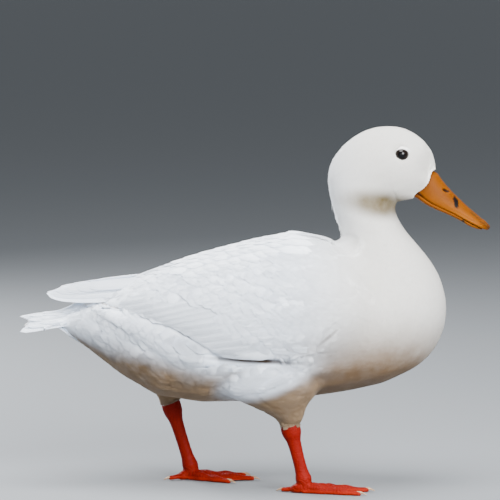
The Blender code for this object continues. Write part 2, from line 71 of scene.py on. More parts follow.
# Forms too fine for the solids, as lines along the bird's side (x, z, half width) and a depth.
WING_SLIT = ((-33.5, 120.5, 3.2), (-12, 119.5, 3.6), (9.5, 118.5, 3.6), (38, 117, 2.0))
WING_SLIT_DEPTH = 10.0     # the wing's lower edge hangs free over this gap
WING_SLIT_BESIDE = 45      # and it lies further out from the middle than this (y)
SWELLINGS = (   # points of the line, height in mm, least distance from the middle (y)
    # flank
    (((-135, 159, 3), (-103, 147, 9), (-73, 134, 12), (-49, 122, 10), (-37, 117, 6)), 3.0, 8),
    # thigh tuft
    (((47, 118, 4), (21, 109, 11), (0, 101, 11), (-17, 92, 6)), 2.4, 8),
    # fold at the wing's front
    (((54, 129, 4), (64, 142, 5), (71, 149, 4)), -1.2, 8),
    # crease of the rump
    (((-171, 153, 2), (-151, 161, 2.4), (-137, 166, 2), (-117, 161, 2)), -1.8, 8),
    # parted coverts
    (((-36, 193, 1.4), (-18, 195.5, 2), (-2, 198, 1.4)), -0.7, 8),
    # dents at the shoulder and at the side of the neck
    (((23, 173, 2.5), (41, 170, 2.5)), -0.9, 8),
    (((90, 183, 3), (102, 171, 3)), -0.9, 8),
    # foot of the nape
    (((77, 218, 9), (84, 217, 9)), -2.2, 0),
)


def smooth_line(points, steps=12):
    """Points closely spaced along a smooth curve through a few."""
    rows = np.array(points, float)
    padded = np.vstack([2 * rows[0] - rows[1], rows, 2 * rows[-1] - rows[-2]])
    t = np.arange(steps)[:, None] / steps
    pieces = []
    for a, b, c, d in zip(padded, padded[1:], padded[2:], padded[3:]):
        pieces.append(0.5 * (2 * b + (c - a) * t + (2 * a - 5 * b + 4 * c - d) * t**2
                             + (3 * b - a - 3 * c + d) * t**3))
    return np.vstack([*pieces, rows[-1:]])


spine_line = smooth_line(SPINE)
spine_steps = np.linalg.norm(np.diff(spine_line, axis=0), axis=1)
spine_run = np.concatenate([[0], np.cumsum(spine_steps)])
spine_ahead = np.gradient(spine_line, axis=0)
spine_ahead /= np.linalg.norm(spine_ahead, axis=1)[:, None]


def along_spine(points):
    """For points in mm: the run along the spine, the angle round it, and its direction there."""
    side_on = points[:, [0, 2]]
    nearest = np.empty(len(points), int)
    for start in range(0, len(points), 20000):
        part = side_on[start:start + 20000]
        gaps = ((part[:, None, :] - spine_line[None]) ** 2).sum(axis=2)
        nearest[start:start + 20000] = gaps.argmin(axis=1)
    ahead = spine_ahead[nearest]
    offset = side_on - spine_line[nearest]
    up = offset[:, 1] * ahead[:, 0] - offset[:, 0] * ahead[:, 1]
    run = spine_run[nearest] + (offset * ahead).sum(axis=1)
    direction = np.stack([ahead[:, 0], np.zeros(len(points)), ahead[:, 1]], axis=1)
    return run, np.arctan2(points[:, 1], up), direction


def bill_places(points):
    """Points in mm as places along, above and beside the axis of the bill, from the gape."""
    x, z = points[:, 0] - GAPE[0], points[:, 2] - GAPE[1]
    c, s = math.cos(BILL_PITCH), math.sin(BILL_PITCH)
    return x * c + z * s, z * c - x * s, points[:, 1]


def bareness(points):
    """How far in mm each point lies forward of the edge of the face's feathers."""
    along, above, beside = bill_places(points)
    edge = np.interp(above, *zip(*FACE_EDGE))
    wedge_from, wedge_to, wedge_half = CULMEN_WEDGE
    reach = wedge_to - (wedge_to - wedge_from) * np.minimum(1, np.abs(beside) / wedge_half)
    edge = np.where(above > 16, np.maximum(edge, reach), edge)
    return along - edge


def ramp(low, high, values):
    """0 at low and 1 at high, smooth between."""
    share = np.clip((values - low) / (high - low), 0, 1)
    return share * share * (3 - 2 * share)


def coat_depth(points):
    """Depth of the feather coat in mm over each point."""
    run, _, _ = along_spine(points)
    depth = np.interp(run, spine_run[::12], COAT_DEPTH) * (0.45 + 0.55 * ramp(60, 88, points[:, 2]))
    wing = ramp(120, 134, points[:, 2]) * ramp(66, 40, points[:, 0])
    at_bill = ramp(-13, -1, bareness(points)) * (points[:, 2] > FACE_FROM) * (points[:, 0] > 125)
    return depth * (1 - 0.35 * (1 - wing)) * (1 - 0.45 * at_bill)


def off_line(points, line):
    """Distance, side on, from each point to a line, as a share of the line's half width there."""
    best = np.full(len(points), 1e9)
    side_on = points[:, [0, 2]]
    for a, b in zip(np.array(line, float), np.array(line[1:], float)):
        run = b[:2] - a[:2]
        share = np.clip(((side_on - a[:2]) @ run) / (run @ run), 0, 1)
        away = np.linalg.norm(side_on - a[:2] - share[:, None] * run, axis=1)
        best = np.minimum(best, away / (a[2] + (b[2] - a[2]) * share))
    return best


def joined_solids(names, swell):
    """One bmesh of several solids, each swollen a little, so that they run into each other."""
    shape = bmesh.new()
    for name in names:
        shape.from_mesh(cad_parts[name].data)
    bmesh.ops.remove_doubles(shape, verts=shape.verts, dist=1e-6)
    geometry = shape.verts[:] + shape.edges[:] + shape.faces[:]
    cut = bmesh.ops.bisect_plane(shape, geom=geometry, plane_co=(TAIL_STUMP * MM, 0, 0),
                                 plane_no=(-1, 0, 0), clear_outer=True)
    rim = [edge for edge in cut["geom_cut"] if isinstance(edge, bmesh.types.BMEdge)]
    bmesh.ops.holes_fill(shape, edges=rim)
    bmesh.ops.triangulate(shape, faces=shape.faces)
    shape.normal_update()
    for vertex in shape.verts:
        vertex.co += vertex.normal * (swell * MM)
    return shape


def broad_parts(x, y, z):
    """The back and the wings, whose long stiff feathers smooth over the steps beneath them."""
    return z > 128 and x < 105 and abs(y) > 12 - 0.2 * x and z < 235 or x < -60


def wing_front(x, y, z):
    """Where breast feathers lie over the front of the wing and hide its edge."""
    return z > 125 and 58 < x < 108 and abs(y) > 15 and z < 228


def breast(x, y, z):
    """The breast, whose small feathers lie close and even."""
    return x > 72 and z < 228


def smoothed(shape, verts, passes):
    for _ in range(passes):
        bmesh.ops.smooth_vert(shape, verts=verts, factor=0.5, use_axis_x=True, use_axis_y=True,
                              use_axis_z=True)


def placed(name, content):
    """A new object in the scene, at the origin."""
    piece = bpy.data.objects.new(name, content)
    bpy.context.scene.collection.objects.link(piece)
    return piece


def remeshed(name, shape, grain, smoothing, softer=()):
    """A new object: the shape as one even skin of small faces, smoothed."""
    rough = bpy.data.meshes.new(name)
    shape.to_mesh(rough)
    shape.free()
    piece = placed(name, rough)
    grid = piece.modifiers.new("even", "REMESH")
    grid.mode = "VOXEL"
    grid.voxel_size = grain * MM
    finished = piece.evaluated_get(bpy.context.evaluated_depsgraph_get())
    evened = bpy.data.meshes.new_from_object(finished)
    piece.modifiers.clear()
    shape = bmesh.new()
    shape.from_mesh(evened)
    smoothed(shape, shape.verts, smoothing)
    for chosen, passes in softer:
        smoothed(shape, [v for v in shape.verts if chosen(*(v.co / MM))], passes)
    bmesh.ops.recalc_face_normals(shape, faces=shape.faces)
    shape.to_mesh(evened)
    shape.free()
    evened.shade_smooth()
    piece.data = evened
    bpy.data.meshes.remove(rough)
    return piece


def mesh_points(mesh):
    """A mesh's points in mm and the normals there."""
    places = np.empty(len(mesh.vertices) * 3)
    mesh.vertices.foreach_get("co", places)
    outward = np.empty(len(mesh.vertices) * 3)
    mesh.vertex_normals.foreach_get("vector", outward)
    return places.reshape(-1, 3) / MM, outward.reshape(-1, 3)


softer = ((broad_parts, BROAD_SMOOTHING), (wing_front, FRONT_SMOOTHING), (breast, FRONT_SMOOTHING))
skin = remeshed("skin", joined_solids(FLESH + ("tail",), SEAM_CLOSING), SKIN_GRAIN, SKIN_SMOOTHING, softer)
skin_points, skin_out = mesh_points(skin.data)
draw_in = coat_depth(skin_points) + 0.6 * SEAM_CLOSING
at_face = (skin_points[:, 0] > 130) * (skin_points[:, 2] > FACE_FROM)
draw_in += 4.0 * ramp(0.8, 4.4, bareness(skin_points)) * at_face
forehead = ramp(12, 21, bill_places(skin_points)[1]) * at_face
draw_in += FOREHEAD_TAPER * ramp(-18, 1, bareness(skin_points)) * forehead
for line, height, inner in SWELLINGS:
    inside = np.clip(1 - off_line(skin_points, line) ** 2, 0, 1)
    draw_in -= height * np.sqrt(inside) * (np.abs(skin_points[:, 1]) > inner)
skin_points -= skin_out * draw_in[:, None]
skin.data.vertices.foreach_set("co", (skin_points * MM).ravel())
shape = bmesh.new()
shape.from_mesh(skin.data)
shape.verts.ensure_lookup_table()
round_bill = [shape.verts[i] for i in np.flatnonzero((bareness(skin_points) > -8) * at_face)]
smoothed(shape, round_bill, FACE_SMOOTHING)
shape.to_mesh(skin.data)
shape.free()


def add_node(tree, kind, inputs=None, **settings):
    """Adds one shader node. An input is either a plain value or another node's output."""
    made = tree.nodes.new(kind)
    for key, value in settings.items():
        setattr(made, key, value)
    for key, value in (inputs or {}).items():
        if isinstance(value, bpy.types.NodeSocket):
            tree.links.new(value, made.inputs[key])
        else:
            made.inputs[key].default_value = value
    return made


def sum_of(tree, operation, first, second, clamp=False):
    inputs = {0: first, 1: second}
    return add_node(tree, "ShaderNodeMath", inputs, operation=operation, use_clamp=clamp).outputs[0]


def vector_of(tree, operation, first, second):
    inputs = {0: first, 1: second}
    return add_node(tree, "ShaderNodeVectorMath", inputs, operation=operation).outputs[0]


def length_of(tree, vector):
    return add_node(tree, "ShaderNodeVectorMath", {0: vector}, operation="LENGTH").outputs["Value"]


def eased(tree, value, low, high):
    """0 where the value is below low, 1 above high, and smooth between."""
    inputs = {"Value": value, "From Min": low, "From Max": high}
    made = add_node(tree, "ShaderNodeMapRange", inputs, interpolation_type="SMOOTHSTEP")
    return made.outputs["Result"]


def blended(tree, share, first, second):
    """Mixes two colours by a share."""
    made = add_node(tree, "ShaderNodeMix", data_type="RGBA")
    for socket, value in ((made.inputs[0], share), (made.inputs[6], first), (made.inputs[7], second)):
        if isinstance(value, bpy.types.NodeSocket):
            tree.links.new(value, socket)
        else:
            socket.default_value = value
    return made.outputs[2]


def noise(tree, place, scale, detail=2.0):
    inputs = {"Vector": place, "Scale": scale, "Detail": detail}
    return add_node(tree, "ShaderNodeTexNoise", inputs).outputs["Fac"]


def patch(tree, place, centre, radii, turn, soft):
    """1 inside an egg-shaped patch, fading to 0 outside it. Centre and radii share the place's units."""
    moved = vector_of(tree, "SUBTRACT", place, centre)
    if turn:
        inputs = {"Vector": moved, "Rotation": (0, turn, 0)}
        moved = add_node(tree, "ShaderNodeMapping", inputs, vector_type="POINT").outputs[0]
    far = length_of(tree, vector_of(tree, "DIVIDE", moved, radii))
    return sum_of(tree, "SUBTRACT", 1.0, eased(tree, far, 1 - soft, 1 + soft))


def in_metres(values):
    return tuple(value * MM for value in values)


def new_material(name, roughness):
    made = bpy.data.materials.new(name)
    made.use_nodes = True
    shader = made.node_tree.nodes["Principled BSDF"]
    shader.inputs["Roughness"].default_value = roughness
    return made, made.node_tree, shader


def bumped(tree, shader, height, strength, depth):
    """Relief finer than the mesh."""
    inputs = {"Height": height, "Strength": strength, "Distance": depth}
    bumps = add_node(tree, "ShaderNodeBump", inputs)
    tree.links.new(bumps.outputs[0], shader.inputs["Normal"])
    return bumps


def translucent(shader, weight, radius, scale):
    shader.inputs["Subsurface Weight"].default_value = weight
    shader.inputs["Subsurface Radius"].default_value = radius
    shader.inputs["Subsurface Scale"].default_value = scale


def downy(shader):
    """The soft, hardly glossy finish of feathers and down."""
    shader.inputs["Sheen Weight"].default_value = 0.04
    shader.inputs["Sheen Roughness"].default_value = 0.5
    shader.inputs["Specular IOR Level"].default_value = 0.08
    translucent(shader, 0.5, (1.0, 0.95, 0.9), 0.005)


COOL_WHITE = (0.79, 0.86, 0.96, 1)
CREAM_WHITE = (0.87, 0.85, 0.80, 1)
PLUMAGE_ROUGHNESS = 0.62
SOIL_AND_SHADE_EDGE, CREASE_EDGE = 0.48, 0.6     # how softly the broad areas of stain and painted shade fade out, and the narrow ones with the painted shadows
# Stains and painted shade on the plumage. Throat, breast, belly and the parts under rump and tail are stained
# and painted darker for the shade under the bird; the gap under the wing, the fold and the crease are painted
# shadow only. Centre and radii (mm), turn in degrees, colour and strength.
SOIL_AND_SHADE = (
    ((111, 0, 251), (29, 200, 10.5), -8, (0.17, 0.125, 0.055, 1), 0.95),   # throat: a stain, and painted shade under the cheeks
    ((106, 0, 72), (94, 200, 66), 4, (0.24, 0.14, 0.067, 1), 1.0),         # lower breast: stain and painted shade
    ((96, 0, 82), (108, 200, 27), 3, (0.14, 0.085, 0.045, 1), 0.8),        # underside of the breast: painted shade, darker towards the bottom
    ((-28, 0, 66), (118, 200, 46), 0, (0.21, 0.138, 0.078, 1), 1.0),       # belly: stain and painted shade
    ((-98, 0, 94), (70, 200, 27), -15, (0.19, 0.122, 0.068, 1), 1.0),      # under the rump: stain and painted shade
    ((-136, 0, 112), (46, 200, 9.5), -35, (0.19, 0.122, 0.068, 1), 1.0),   # under the tail: stain and painted shade
    ((2, 0, 119), (38, 200, 2.4), -3, (0.045, 0.028, 0.018, 1), 1.0),       # painted shadow in the gap under the wing
    ((64, 0, 140), (10, 200, 1.4), 40, (0.12, 0.09, 0.075, 1), 0.55),        # painted shade in the fold at the wing's front
    ((-154, 0, 160), (18, 200, 1.2), 21, (0.34, 0.27, 0.20, 1), 0.65),        # painted shade in the crease of the rump, in two pieces
    ((-127, 0, 164), (11, 200, 1.2), -14, (0.34, 0.27, 0.20, 1), 0.65),
)
# Where the plumage is kept free of stain and painted shade: flank and thigh tuft. Centre and radii (mm), turn
# in degrees.
KEPT_WHITE = (((-77, 0, 137), (62, 200, 17), -26), ((12, 0, 103), (46, 200, 17), 20),
         ((-12, 0, 112.5), (24, 200, 4), 3))


def plumage_colour(tree, with_stain_and_shade=True):
    """White plumage: cool on back and wings, cream on neck and breast; stains and painted shade below."""
    place = add_node(tree, "ShaderNodeTexCoord").outputs["Object"]
    along = add_node(tree, "ShaderNodeSeparateXYZ", {0: place}).outputs["X"]
    colour = blended(tree, eased(tree, along, 0.02, 0.11), COOL_WHITE, CREAM_WHITE)
    mottle = noise(tree, place, 60.0, 4.0)
    kept_white = 0.0
    for centre, radii, turn in KEPT_WHITE:
        inside = patch(tree, place, in_metres(centre), in_metres(radii), math.radians(turn), 0.3)
        kept_white = sum_of(tree, "MAXIMUM", kept_white, inside)
    # room left for stains and painted shade outside the kept-white patches
    stain_and_shade_room = sum_of(tree, "SUBTRACT", 1.0, kept_white)
    # lays the stains, the painted shade under the bird and the painted shadows in gap, fold and crease
    for centre, radii, turn, stain_and_shade_colour, strength in SOIL_AND_SHADE if with_stain_and_shade else SOIL_AND_SHADE[:1]:
        soft = SOIL_AND_SHADE_EDGE if radii[0] > 40 else CREASE_EDGE
        inside = patch(tree, place, in_metres(centre), in_metres(radii), math.radians(turn), soft)
        if radii[2] > 5:
            inside = sum_of(tree, "MULTIPLY", inside, stain_and_shade_room)
        broken = sum_of(tree, "MULTIPLY", inside, eased(tree, mottle, 0.25, 0.75))
        even, broken = sum_of(tree, "MULTIPLY", inside, 0.88), sum_of(tree, "MULTIPLY", broken, 0.2)
        share = sum_of(tree, "MULTIPLY", sum_of(tree, "ADD", even, broken), strength, True)
        colour = blended(tree, share, colour, stain_and_shade_colour)
    return colour


def skin_material():
    made, tree, shader = new_material("down_covered_skin", PLUMAGE_ROUGHNESS)
    downy(shader)
    tree.links.new(plumage_colour(tree), shader.inputs["Base Color"])
    place = add_node(tree, "ShaderNodeTexCoord").outputs["Object"]
    bumped(tree, shader, noise(tree, place, 900.0), 0.5, 0.0004)
    return made


skin.data.materials.append(skin_material())
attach(skin, "root")
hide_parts(*FLESH)


# ---- Contour feathers ----------------------------------------------------------------------------
# The small feathers that cover the bird from face to tail. Each is a thin domed vane of keratin on a
# shaft, rooted in the skin, lying tailwards over the next ones like roof tiles.
OUTLINE_FROM, OUTLINE_FULL = 0.28, 0.45    # share of full width at a vane's root; where it is full
PIECE_LIMIT = 195000     # triangles in one piece at most
TUFT_PATCH = (0.0015, 0.003)    # half width and length of each vane's place on the unwrap
bird = np.random.default_rng(7)


def bvh_of(mesh_list):
    """A search tree over several meshes, in mm."""
    corners, faces = [], []
    for mesh in mesh_list:
        first = len(corners)
        corners += [tuple(vertex.co / MM) for vertex in mesh.vertices]
        faces += [tuple(first + i for i in face.vertices) for face in mesh.polygons]
    return BVHTree.FromPolygons(corners, faces)


surface = bvh_of([skin.data] + [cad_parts[n].data for n in ("shank_right", "shank_left")])
solid_trees = {name: bvh_of([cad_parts[name].data]) for name in FLESH}


def draped(points, rise, open_slit=False):
    """Moves points to the given heights over the surface, following its shape."""
    flat = points.reshape(-1, 3)
    heights = np.broadcast_to(rise, points.shape[:-1]).ravel()
    if open_slit:
        inside = ramp(0, 0.4, 1 - off_line(flat, WING_SLIT)) * (np.abs(flat[:, 1]) > WING_SLIT_BESIDE)
        heights = heights - WING_SLIT_DEPTH * inside * ramp(32, 10, flat[:, 0])
    out = np.empty_like(flat)
    for i, (point, height) in enumerate(zip(flat.tolist(), heights.tolist())):
        hit, normal, _, _ = surface.find_nearest(point)
        out[i] = hit + normal * height
    return out.reshape(points.shape)


def vane_outline(t, point):
    """Share of full width along a vane. A high point value makes a narrower tip."""
    opening = OUTLINE_FROM + (1 - OUTLINE_FROM) * np.sin(np.minimum(1, t / OUTLINE_FULL) * math.pi / 2)
    past = np.clip((t - OUTLINE_FULL) / (1 - OUTLINE_FULL), 0, 1)
    return opening * np.sqrt(np.maximum(0, 1 - past ** point))


def closed_vanes(name, grids, tips, lengths, widths, run, angle, shade):
    """Joins many vanes into one mesh. grids holds each vane's rows of points across, in mm."""
    count, rows, across = grids.shape[:3]
    each = rows * across + 1
    points = np.concatenate([grids.reshape(count, -1, 3), tips[:, None]], axis=1)
    number = np.arange(rows * across).reshape(rows, across)
    a, b = number[:-1, :-1].ravel(), number[:-1, 1:].ravel()
    c, d = number[1:, 1:].ravel(), number[1:, :-1].ravel()
    left, right, tip = number[:, 0], number[:, -1], rows * across
    parts = [np.stack([a, b, c], 1), np.stack([a, c, d], 1)]
    parts.append(np.stack([left[:-1], left[1:], right[1:]], 1))
    parts.append(np.stack([left[:-1], right[1:], right[:-1]], 1))
    last, first = number[-1], number[0]
    parts.append(np.stack([last[:-1], last[1:], np.full(across - 1, tip)], 1))
    parts.append(np.array([[last[-1], last[0], tip]]))
    parts.append(np.array([[first[0], first[i + 1], first[i]] for i in range(1, across - 1)]))
    faces = np.concatenate(parts)
    rows_v = np.concatenate([np.repeat(np.linspace(0, 1, rows + 1)[:-1], across), [1.0]])
    rows_u = np.concatenate([np.tile(np.linspace(-1, 1, across), rows), [0.0]])
    limit = PIECE_LIMIT // len(faces)
    made = []
    for order, start in enumerate(range(0, count, limit)):
        batch = slice(start, min(count, start + limit))
        size = batch.stop - batch.start
        corner = (faces[None] + (np.arange(size) * each)[:, None, None]).reshape(-1)
        mesh = bpy.data.meshes.new(f"{name}_{order}")
        mesh.vertices.add(size * each)
        mesh.vertices.foreach_set("co", (points[batch] * MM).ravel())
        mesh.loops.add(len(corner))
        mesh.loops.foreach_set("vertex_index", corner)
        mesh.polygons.add(len(corner) // 3)
        mesh.polygons.foreach_set("loop_start", np.arange(0, len(corner), 3))
        mesh.update(calc_edges=True)
        mesh.shade_smooth()
        mesh.set_sharp_from_angle(angle=math.radians(70))
        local = np.stack([np.tile(rows_u, size) * TUFT_PATCH[0], np.tile(rows_v, size) * TUFT_PATCH[1]], 1)
        around = angle[batch] / (2 * math.pi) + 0.5
        home = np.stack([0.02 + 0.95 * run[batch] / spine_run[-1], 0.01 + 0.97 * around], 1)
        bake = mesh.uv_layers.new(name="OFBake")
        bake.uv.foreach_set("vector", (local + np.repeat(home, each, axis=0))[corner].ravel())
        span = np.stack([np.tile(rows_u, size) * np.repeat(widths[batch], each) / 2,
                         np.tile(rows_v, size) * np.repeat(lengths[batch], each)], 1)
        vane = mesh.uv_layers.new(name="vane")
        vane.uv.foreach_set("vector", span[corner].ravel())
        tone = mesh.attributes.new("shade", "FLOAT", "POINT")
        tone.data.foreach_set("value", np.repeat(shade[batch], each))
        made.append(placed(mesh.name, mesh))
    return made


def barbed_plumage(name, barb_depth, with_stain_and_shade=True):
    """White vane: faint slanting barbs on both sides of the shaft, a little different on each."""
    made, tree, shader = new_material(name, PLUMAGE_ROUGHNESS)
    shade = add_node(tree, "ShaderNodeAttribute", attribute_name="shade").outputs["Fac"]
    value = sum_of(tree, "SUBTRACT", 1.0, sum_of(tree, "MULTIPLY", shade, 0.25))
    darker = {"Color": plumage_colour(tree, with_stain_and_shade), "Value": value}
    colour = add_node(tree, "ShaderNodeHueSaturation", darker).outputs[0]
    tree.links.new(colour, shader.inputs["Base Color"])
    vane = add_node(tree, "ShaderNodeUVMap", uv_map="vane").outputs["UV"]
    split = add_node(tree, "ShaderNodeSeparateXYZ", {0: vane})
    slant = sum_of(tree, "MULTIPLY", sum_of(tree, "ABSOLUTE", split.outputs["X"], 0.0), -1.3)
    run = sum_of(tree, "MULTIPLY", sum_of(tree, "ADD", slant, split.outputs["Y"]), 9.0)
    bumped(tree, shader, sum_of(tree, "SINE", run, 0.0), 0.35, barb_depth)
    downy(shader)
    return made


def finish_feathers(pieces, material, *nodes):
    for piece in pieces:
        piece.data.materials.append(material)
        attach(piece, "root")
        if nodes:
            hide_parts(*nodes)


small_vane = barbed_plumage("small_white_feathers", 0.00006)
skin_points, skin_out = mesh_points(skin.data)
skin.data.calc_loop_triangles()
skin_corners = np.empty(len(skin.data.loop_triangles) * 3, int)
skin.data.loop_triangles.foreach_get("vertices", skin_corners)
skin_corners = skin_corners.reshape(-1, 3)


def sown(spacing, wanted):
    """Random roots over the part of the skin that is wanted, each at its own distance from the next."""
    centre = skin_points[skin_corners].mean(axis=1)
    chosen = wanted(centre)
    faces, apart = skin_corners[chosen], spacing(centre[chosen])
    corner = skin_points[faces]
    areas = np.linalg.norm(np.cross(corner[:, 1] - corner[:, 0], corner[:, 2] - corner[:, 0]), axis=1) / 2
    room = areas / apart**2
    tries = int(room.sum() * 5)
    chosen = bird.choice(len(faces), tries, p=room / room.sum())
    u, v = bird.random(tries), bird.random(tries)
    over = u + v > 1
    u[over], v[over] = 1 - u[over], 1 - v[over]
    share = np.stack([1 - u - v, u, v], 1)[:, :, None]
    places = (corner[chosen] * share).sum(axis=1)
    outward = (skin_out[faces[chosen]] * share).sum(axis=1)
    kept, taken = [], {}
    cells = np.floor(places / apart.max()).astype(int).tolist()
    around = [(i, j, k) for i in (-1, 0, 1) for j in (-1, 0, 1) for k in (-1, 0, 1)]
    for i, (place, (x, y, z), gap) in enumerate(zip(places.tolist(), cells, apart[chosen].tolist())):
        near = (other for a, b, c in around for other in taken.get((x + a, y + b, z + c), ()))
        if all(math.dist(place, other) >= gap for other in near):
            taken.setdefault((x, y, z), []).append(place)
            kept.append(i)
    outward = outward[kept]
    return places[kept], outward / np.linalg.norm(outward, axis=1)[:, None]


def nearest_solid(points):
    """Which solid of flesh each point lies closest to."""
    names = list(solid_trees)
    gaps = np.array([[tree.find_nearest(point)[3] for point in points.tolist()]
                     for tree in solid_trees.values()])
    return np.array(names)[gaps.argmin(axis=0)]


WING_TIP = (-196, 172)     # all feathers of a folded wing run towards this point (x, z)
FACE_FRONT = (152, 270)    # and those of the face away from this one


def lie_of(points, outward, solids):
    """The direction in which feathers lie: tailwards, towards the wing's tip, or down the thigh."""
    _, _, ahead = along_spine(points)
    lie = -ahead
    away = np.stack([points[:, 0] - FACE_FRONT[0], points[:, 1] * 0.6, points[:, 2] - FACE_FRONT[1]], 1)
    distance = np.linalg.norm(away, axis=1)
    face = (1 - ramp(38, 72, distance))[:, None]
    lie = lie * (1 - face) + away / distance[:, None] * face
    x, y, z = points.T
    front = ramp(102, 45, x) * ramp(114, 124, z) * ramp(6, 24, np.abs(y))
    wing = np.where(x > 45, front, np.char.startswith(solids, "wing"))[:, None]
    to_tip = np.stack([WING_TIP[0] - x, 0 * x, WING_TIP[1] - z], 1)
    lie = lie * (1 - wing) + to_tip / np.linalg.norm(to_tip, axis=1)[:, None] * wing
    thigh = np.char.startswith(solids, "thigh")
    down = ramp(0, 30, 112 - points[:, 2])[:, None]
    low = ramp(0, 20, 86 - points[:, 2])[:, None]
    leg = np.array([-0.92, 0, -0.39]) * (1 - low) + np.array([-0.35, 0, -0.94]) * low
    lie[thigh] = (lie * (1 - down) + leg * down)[thigh]
    lie = lie - (lie * outward).sum(axis=1)[:, None] * outward
    return lie / np.linalg.norm(lie, axis=1)[:, None]


# Length in mm at each point of the spine's line.
FEATHER_LENGTH = (28, 28, 27, 24, 23, 22, 20, 17, 14, 10.5, 8.2, 6.4, 5.6, 4.6, 3.2, 3.2)
LOWEST_ROOT = 62           # no small feather grows below this height
LOOSENESS = 0.08           # radians by which feathers stray from the lie of the coat
NAPE_BEHIND, NAPE_OVER, NAPE_BESIDE = 84, 226, 8     # the nape, where a few feathers stand up (x, z, y)
LYING_SHARE = 0.94         # share of the nape's feathers that lie flat all the same
ROOT_SUNK = 0.45           # mm by which each root is sunk in the skin


def feather_length(points):
    """Length in mm of the feathers that cover each place: smallest round the bill and the eyes."""
    run, _, _ = along_spine(points)
    length = np.interp(run, spine_run[::12], FEATHER_LENGTH)
    length = length * (1 - 0.45 * ramp(30, 0, points[:, 2] - LOWEST_ROOT) * (np.abs(points[:, 1]) > 24))
    return length * (1 - 0.28 * fineness(points))


def grow(name, wanted, across=3, rows=4, tip=2.2, crowd=0.25, flat=0.30, size=1.0, slim=0.62):
    """Sows one tract of feathers and shapes each over the skin."""
    places, outward = sown(lambda p: np.maximum(1.0, crowd * size * feather_length(p)), wanted)
    solids = nearest_solid(places)
    lie = lie_of(places, outward, solids)
    count = len(places)
    turn = bird.normal(0, LOOSENESS, count)[:, None]
    beside = np.cross(lie, outward)
    lie = lie * np.cos(turn) + beside * np.sin(turn)
    beside = np.cross(lie, outward)
    lengths = feather_length(places) * size * bird.uniform(0.88, 1.12, count)
    widths = slim * lengths * bird.uniform(0.9, 1.1, count)
    depth = coat_depth(places) * bird.uniform(0.98, 1.02, count)
    at_nape = (places[:, 0] < NAPE_BEHIND) & (places[:, 2] > NAPE_OVER) & (np.abs(places[:, 1]) < NAPE_BESIDE)
    ruffled = at_nape & (bird.random(count) > LYING_SHARE)
    lengths[ruffled] *= 1.35
    depth[ruffled] *= bird.uniform(1.5, 2.4, ruffled.sum())
    flat = np.where(ruffled, 1.1, flat)[:, None]
    flat = flat + (1 - flat) * 0.6 * ramp(-6, -1, bareness(places))[:, None] * (places[:, 2:] > FACE_FROM)
    t = np.linspace(0, 1, rows + 1)[:-1] ** 0.9
    u = np.linspace(-1, 1, across)
    outline = vane_outline(t, tip)
    ragged = bird.uniform(-0.025, 0.025, (count, rows)) * lengths[:, None]
    forward = (lengths[:, None] * t[None, :])[:, :, None] + ragged[:, :, None] * np.abs(u)
    sideways = (widths[:, None] / 2 * outline[None, :])[:, :, None] * u
    grid = (places[:, None, None] + lie[:, None, None] * forward[:, :, :, None]
            + beside[:, None, None] * sideways[:, :, :, None])
    dome = 0.008 * widths[:, None, None] * (1 - u[None, None] ** 2) * outline[None, :, None]
    rise = -ROOT_SUNK + (depth[:, None, None] + ROOT_SUNK) * (t ** flat)[:, :, None]
    grid = draped(grid, rise + dome, True)
    end = draped(places + lie * lengths[:, None], depth, True)
    run, angle, _ = along_spine(places)
    shade = np.clip(bird.normal(0.05, 0.05, count), 0, 0.25)
    return closed_vanes(name, grid, end, lengths, widths, run, angle, shade)


SOWN_TO = -156             # behind this (x) the coverts of the tail take over
BREAST_FROM = 30           # in front of this (x) the feathers are the breast's and the neck's
HEAD_FROM = 232            # height above which the feathers are the head's, mm
eye_middles = {}
for label in ("right", "left"):
    low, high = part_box(f"eye_{label}")
    eye_middles[label] = np.array((low + high) / 2) / MM
EYE_BALL = (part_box("eye_right")[1].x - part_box("eye_right")[0].x) / MM / 2
EYE_CLEARANCE = 5.1        # height in mm over the eye's middle that stays free of feathers


def off_eye(points):
    """Whether points are clear of the eye openings, with room in front for the feathers' length."""
    middle = eye_middles["right"]
    return np.hypot((points[:, 0] - middle[0] - 1.0) / 1.35, points[:, 2] - middle[2]) > EYE_CLEARANCE


def fineness(points):
    """1 close to the bill and the eyes, 0 away from them."""
    along = 1 - ramp(0, 16, -bareness(points))
    middle = eye_middles["right"]
    eye = 1 - ramp(5, 13, np.hypot(points[:, 0] - middle[0], points[:, 2] - middle[2]))
    return np.maximum(along, eye)


def on_head(points):
    return (points[:, 2] > HEAD_FROM) & (bareness(points) < -1.0) & off_eye(points)


def under_quills(points):
    """The part of the wing that the long quills and their coverts hide."""
    chosen = (points[:, 0] < -16) & (points[:, 0] > -120) & (points[:, 2] > 124) & (points[:, 2] < 172)
    chosen[chosen] = np.char.startswith(nearest_solid(points[chosen]), "wing")
    return chosen


def off_slit(points):
    return (off_line(points, WING_SLIT) > 2.1) | (np.abs(points[:, 1]) < WING_SLIT_BESIDE)


def on_neck_and_breast(points):
    x, _, z = points.T
    return (z <= HEAD_FROM) & (x > BREAST_FROM) & (z > LOWEST_ROOT) & off_slit(points)


def on_body(points):
    x, _, z = points.T
    return ((x <= BREAST_FROM) & (x > SOWN_TO) & (z > LOWEST_ROOT) & off_slit(points)
            & ~under_quills(points))


head = grow("head_feathers", on_head, rows=5, crowd=0.20, slim=0.58)
body_front = grow("neck_and_breast_feathers", on_neck_and_breast, across=5, rows=6, tip=1.5, size=0.85,
                  crowd=0.20, flat=0.26, slim=0.55)
body_rear = grow("body_feathers", on_body, across=5, rows=7, tip=2.0, flat=0.4)
finish_feathers(head + body_front + body_rear, small_vane)


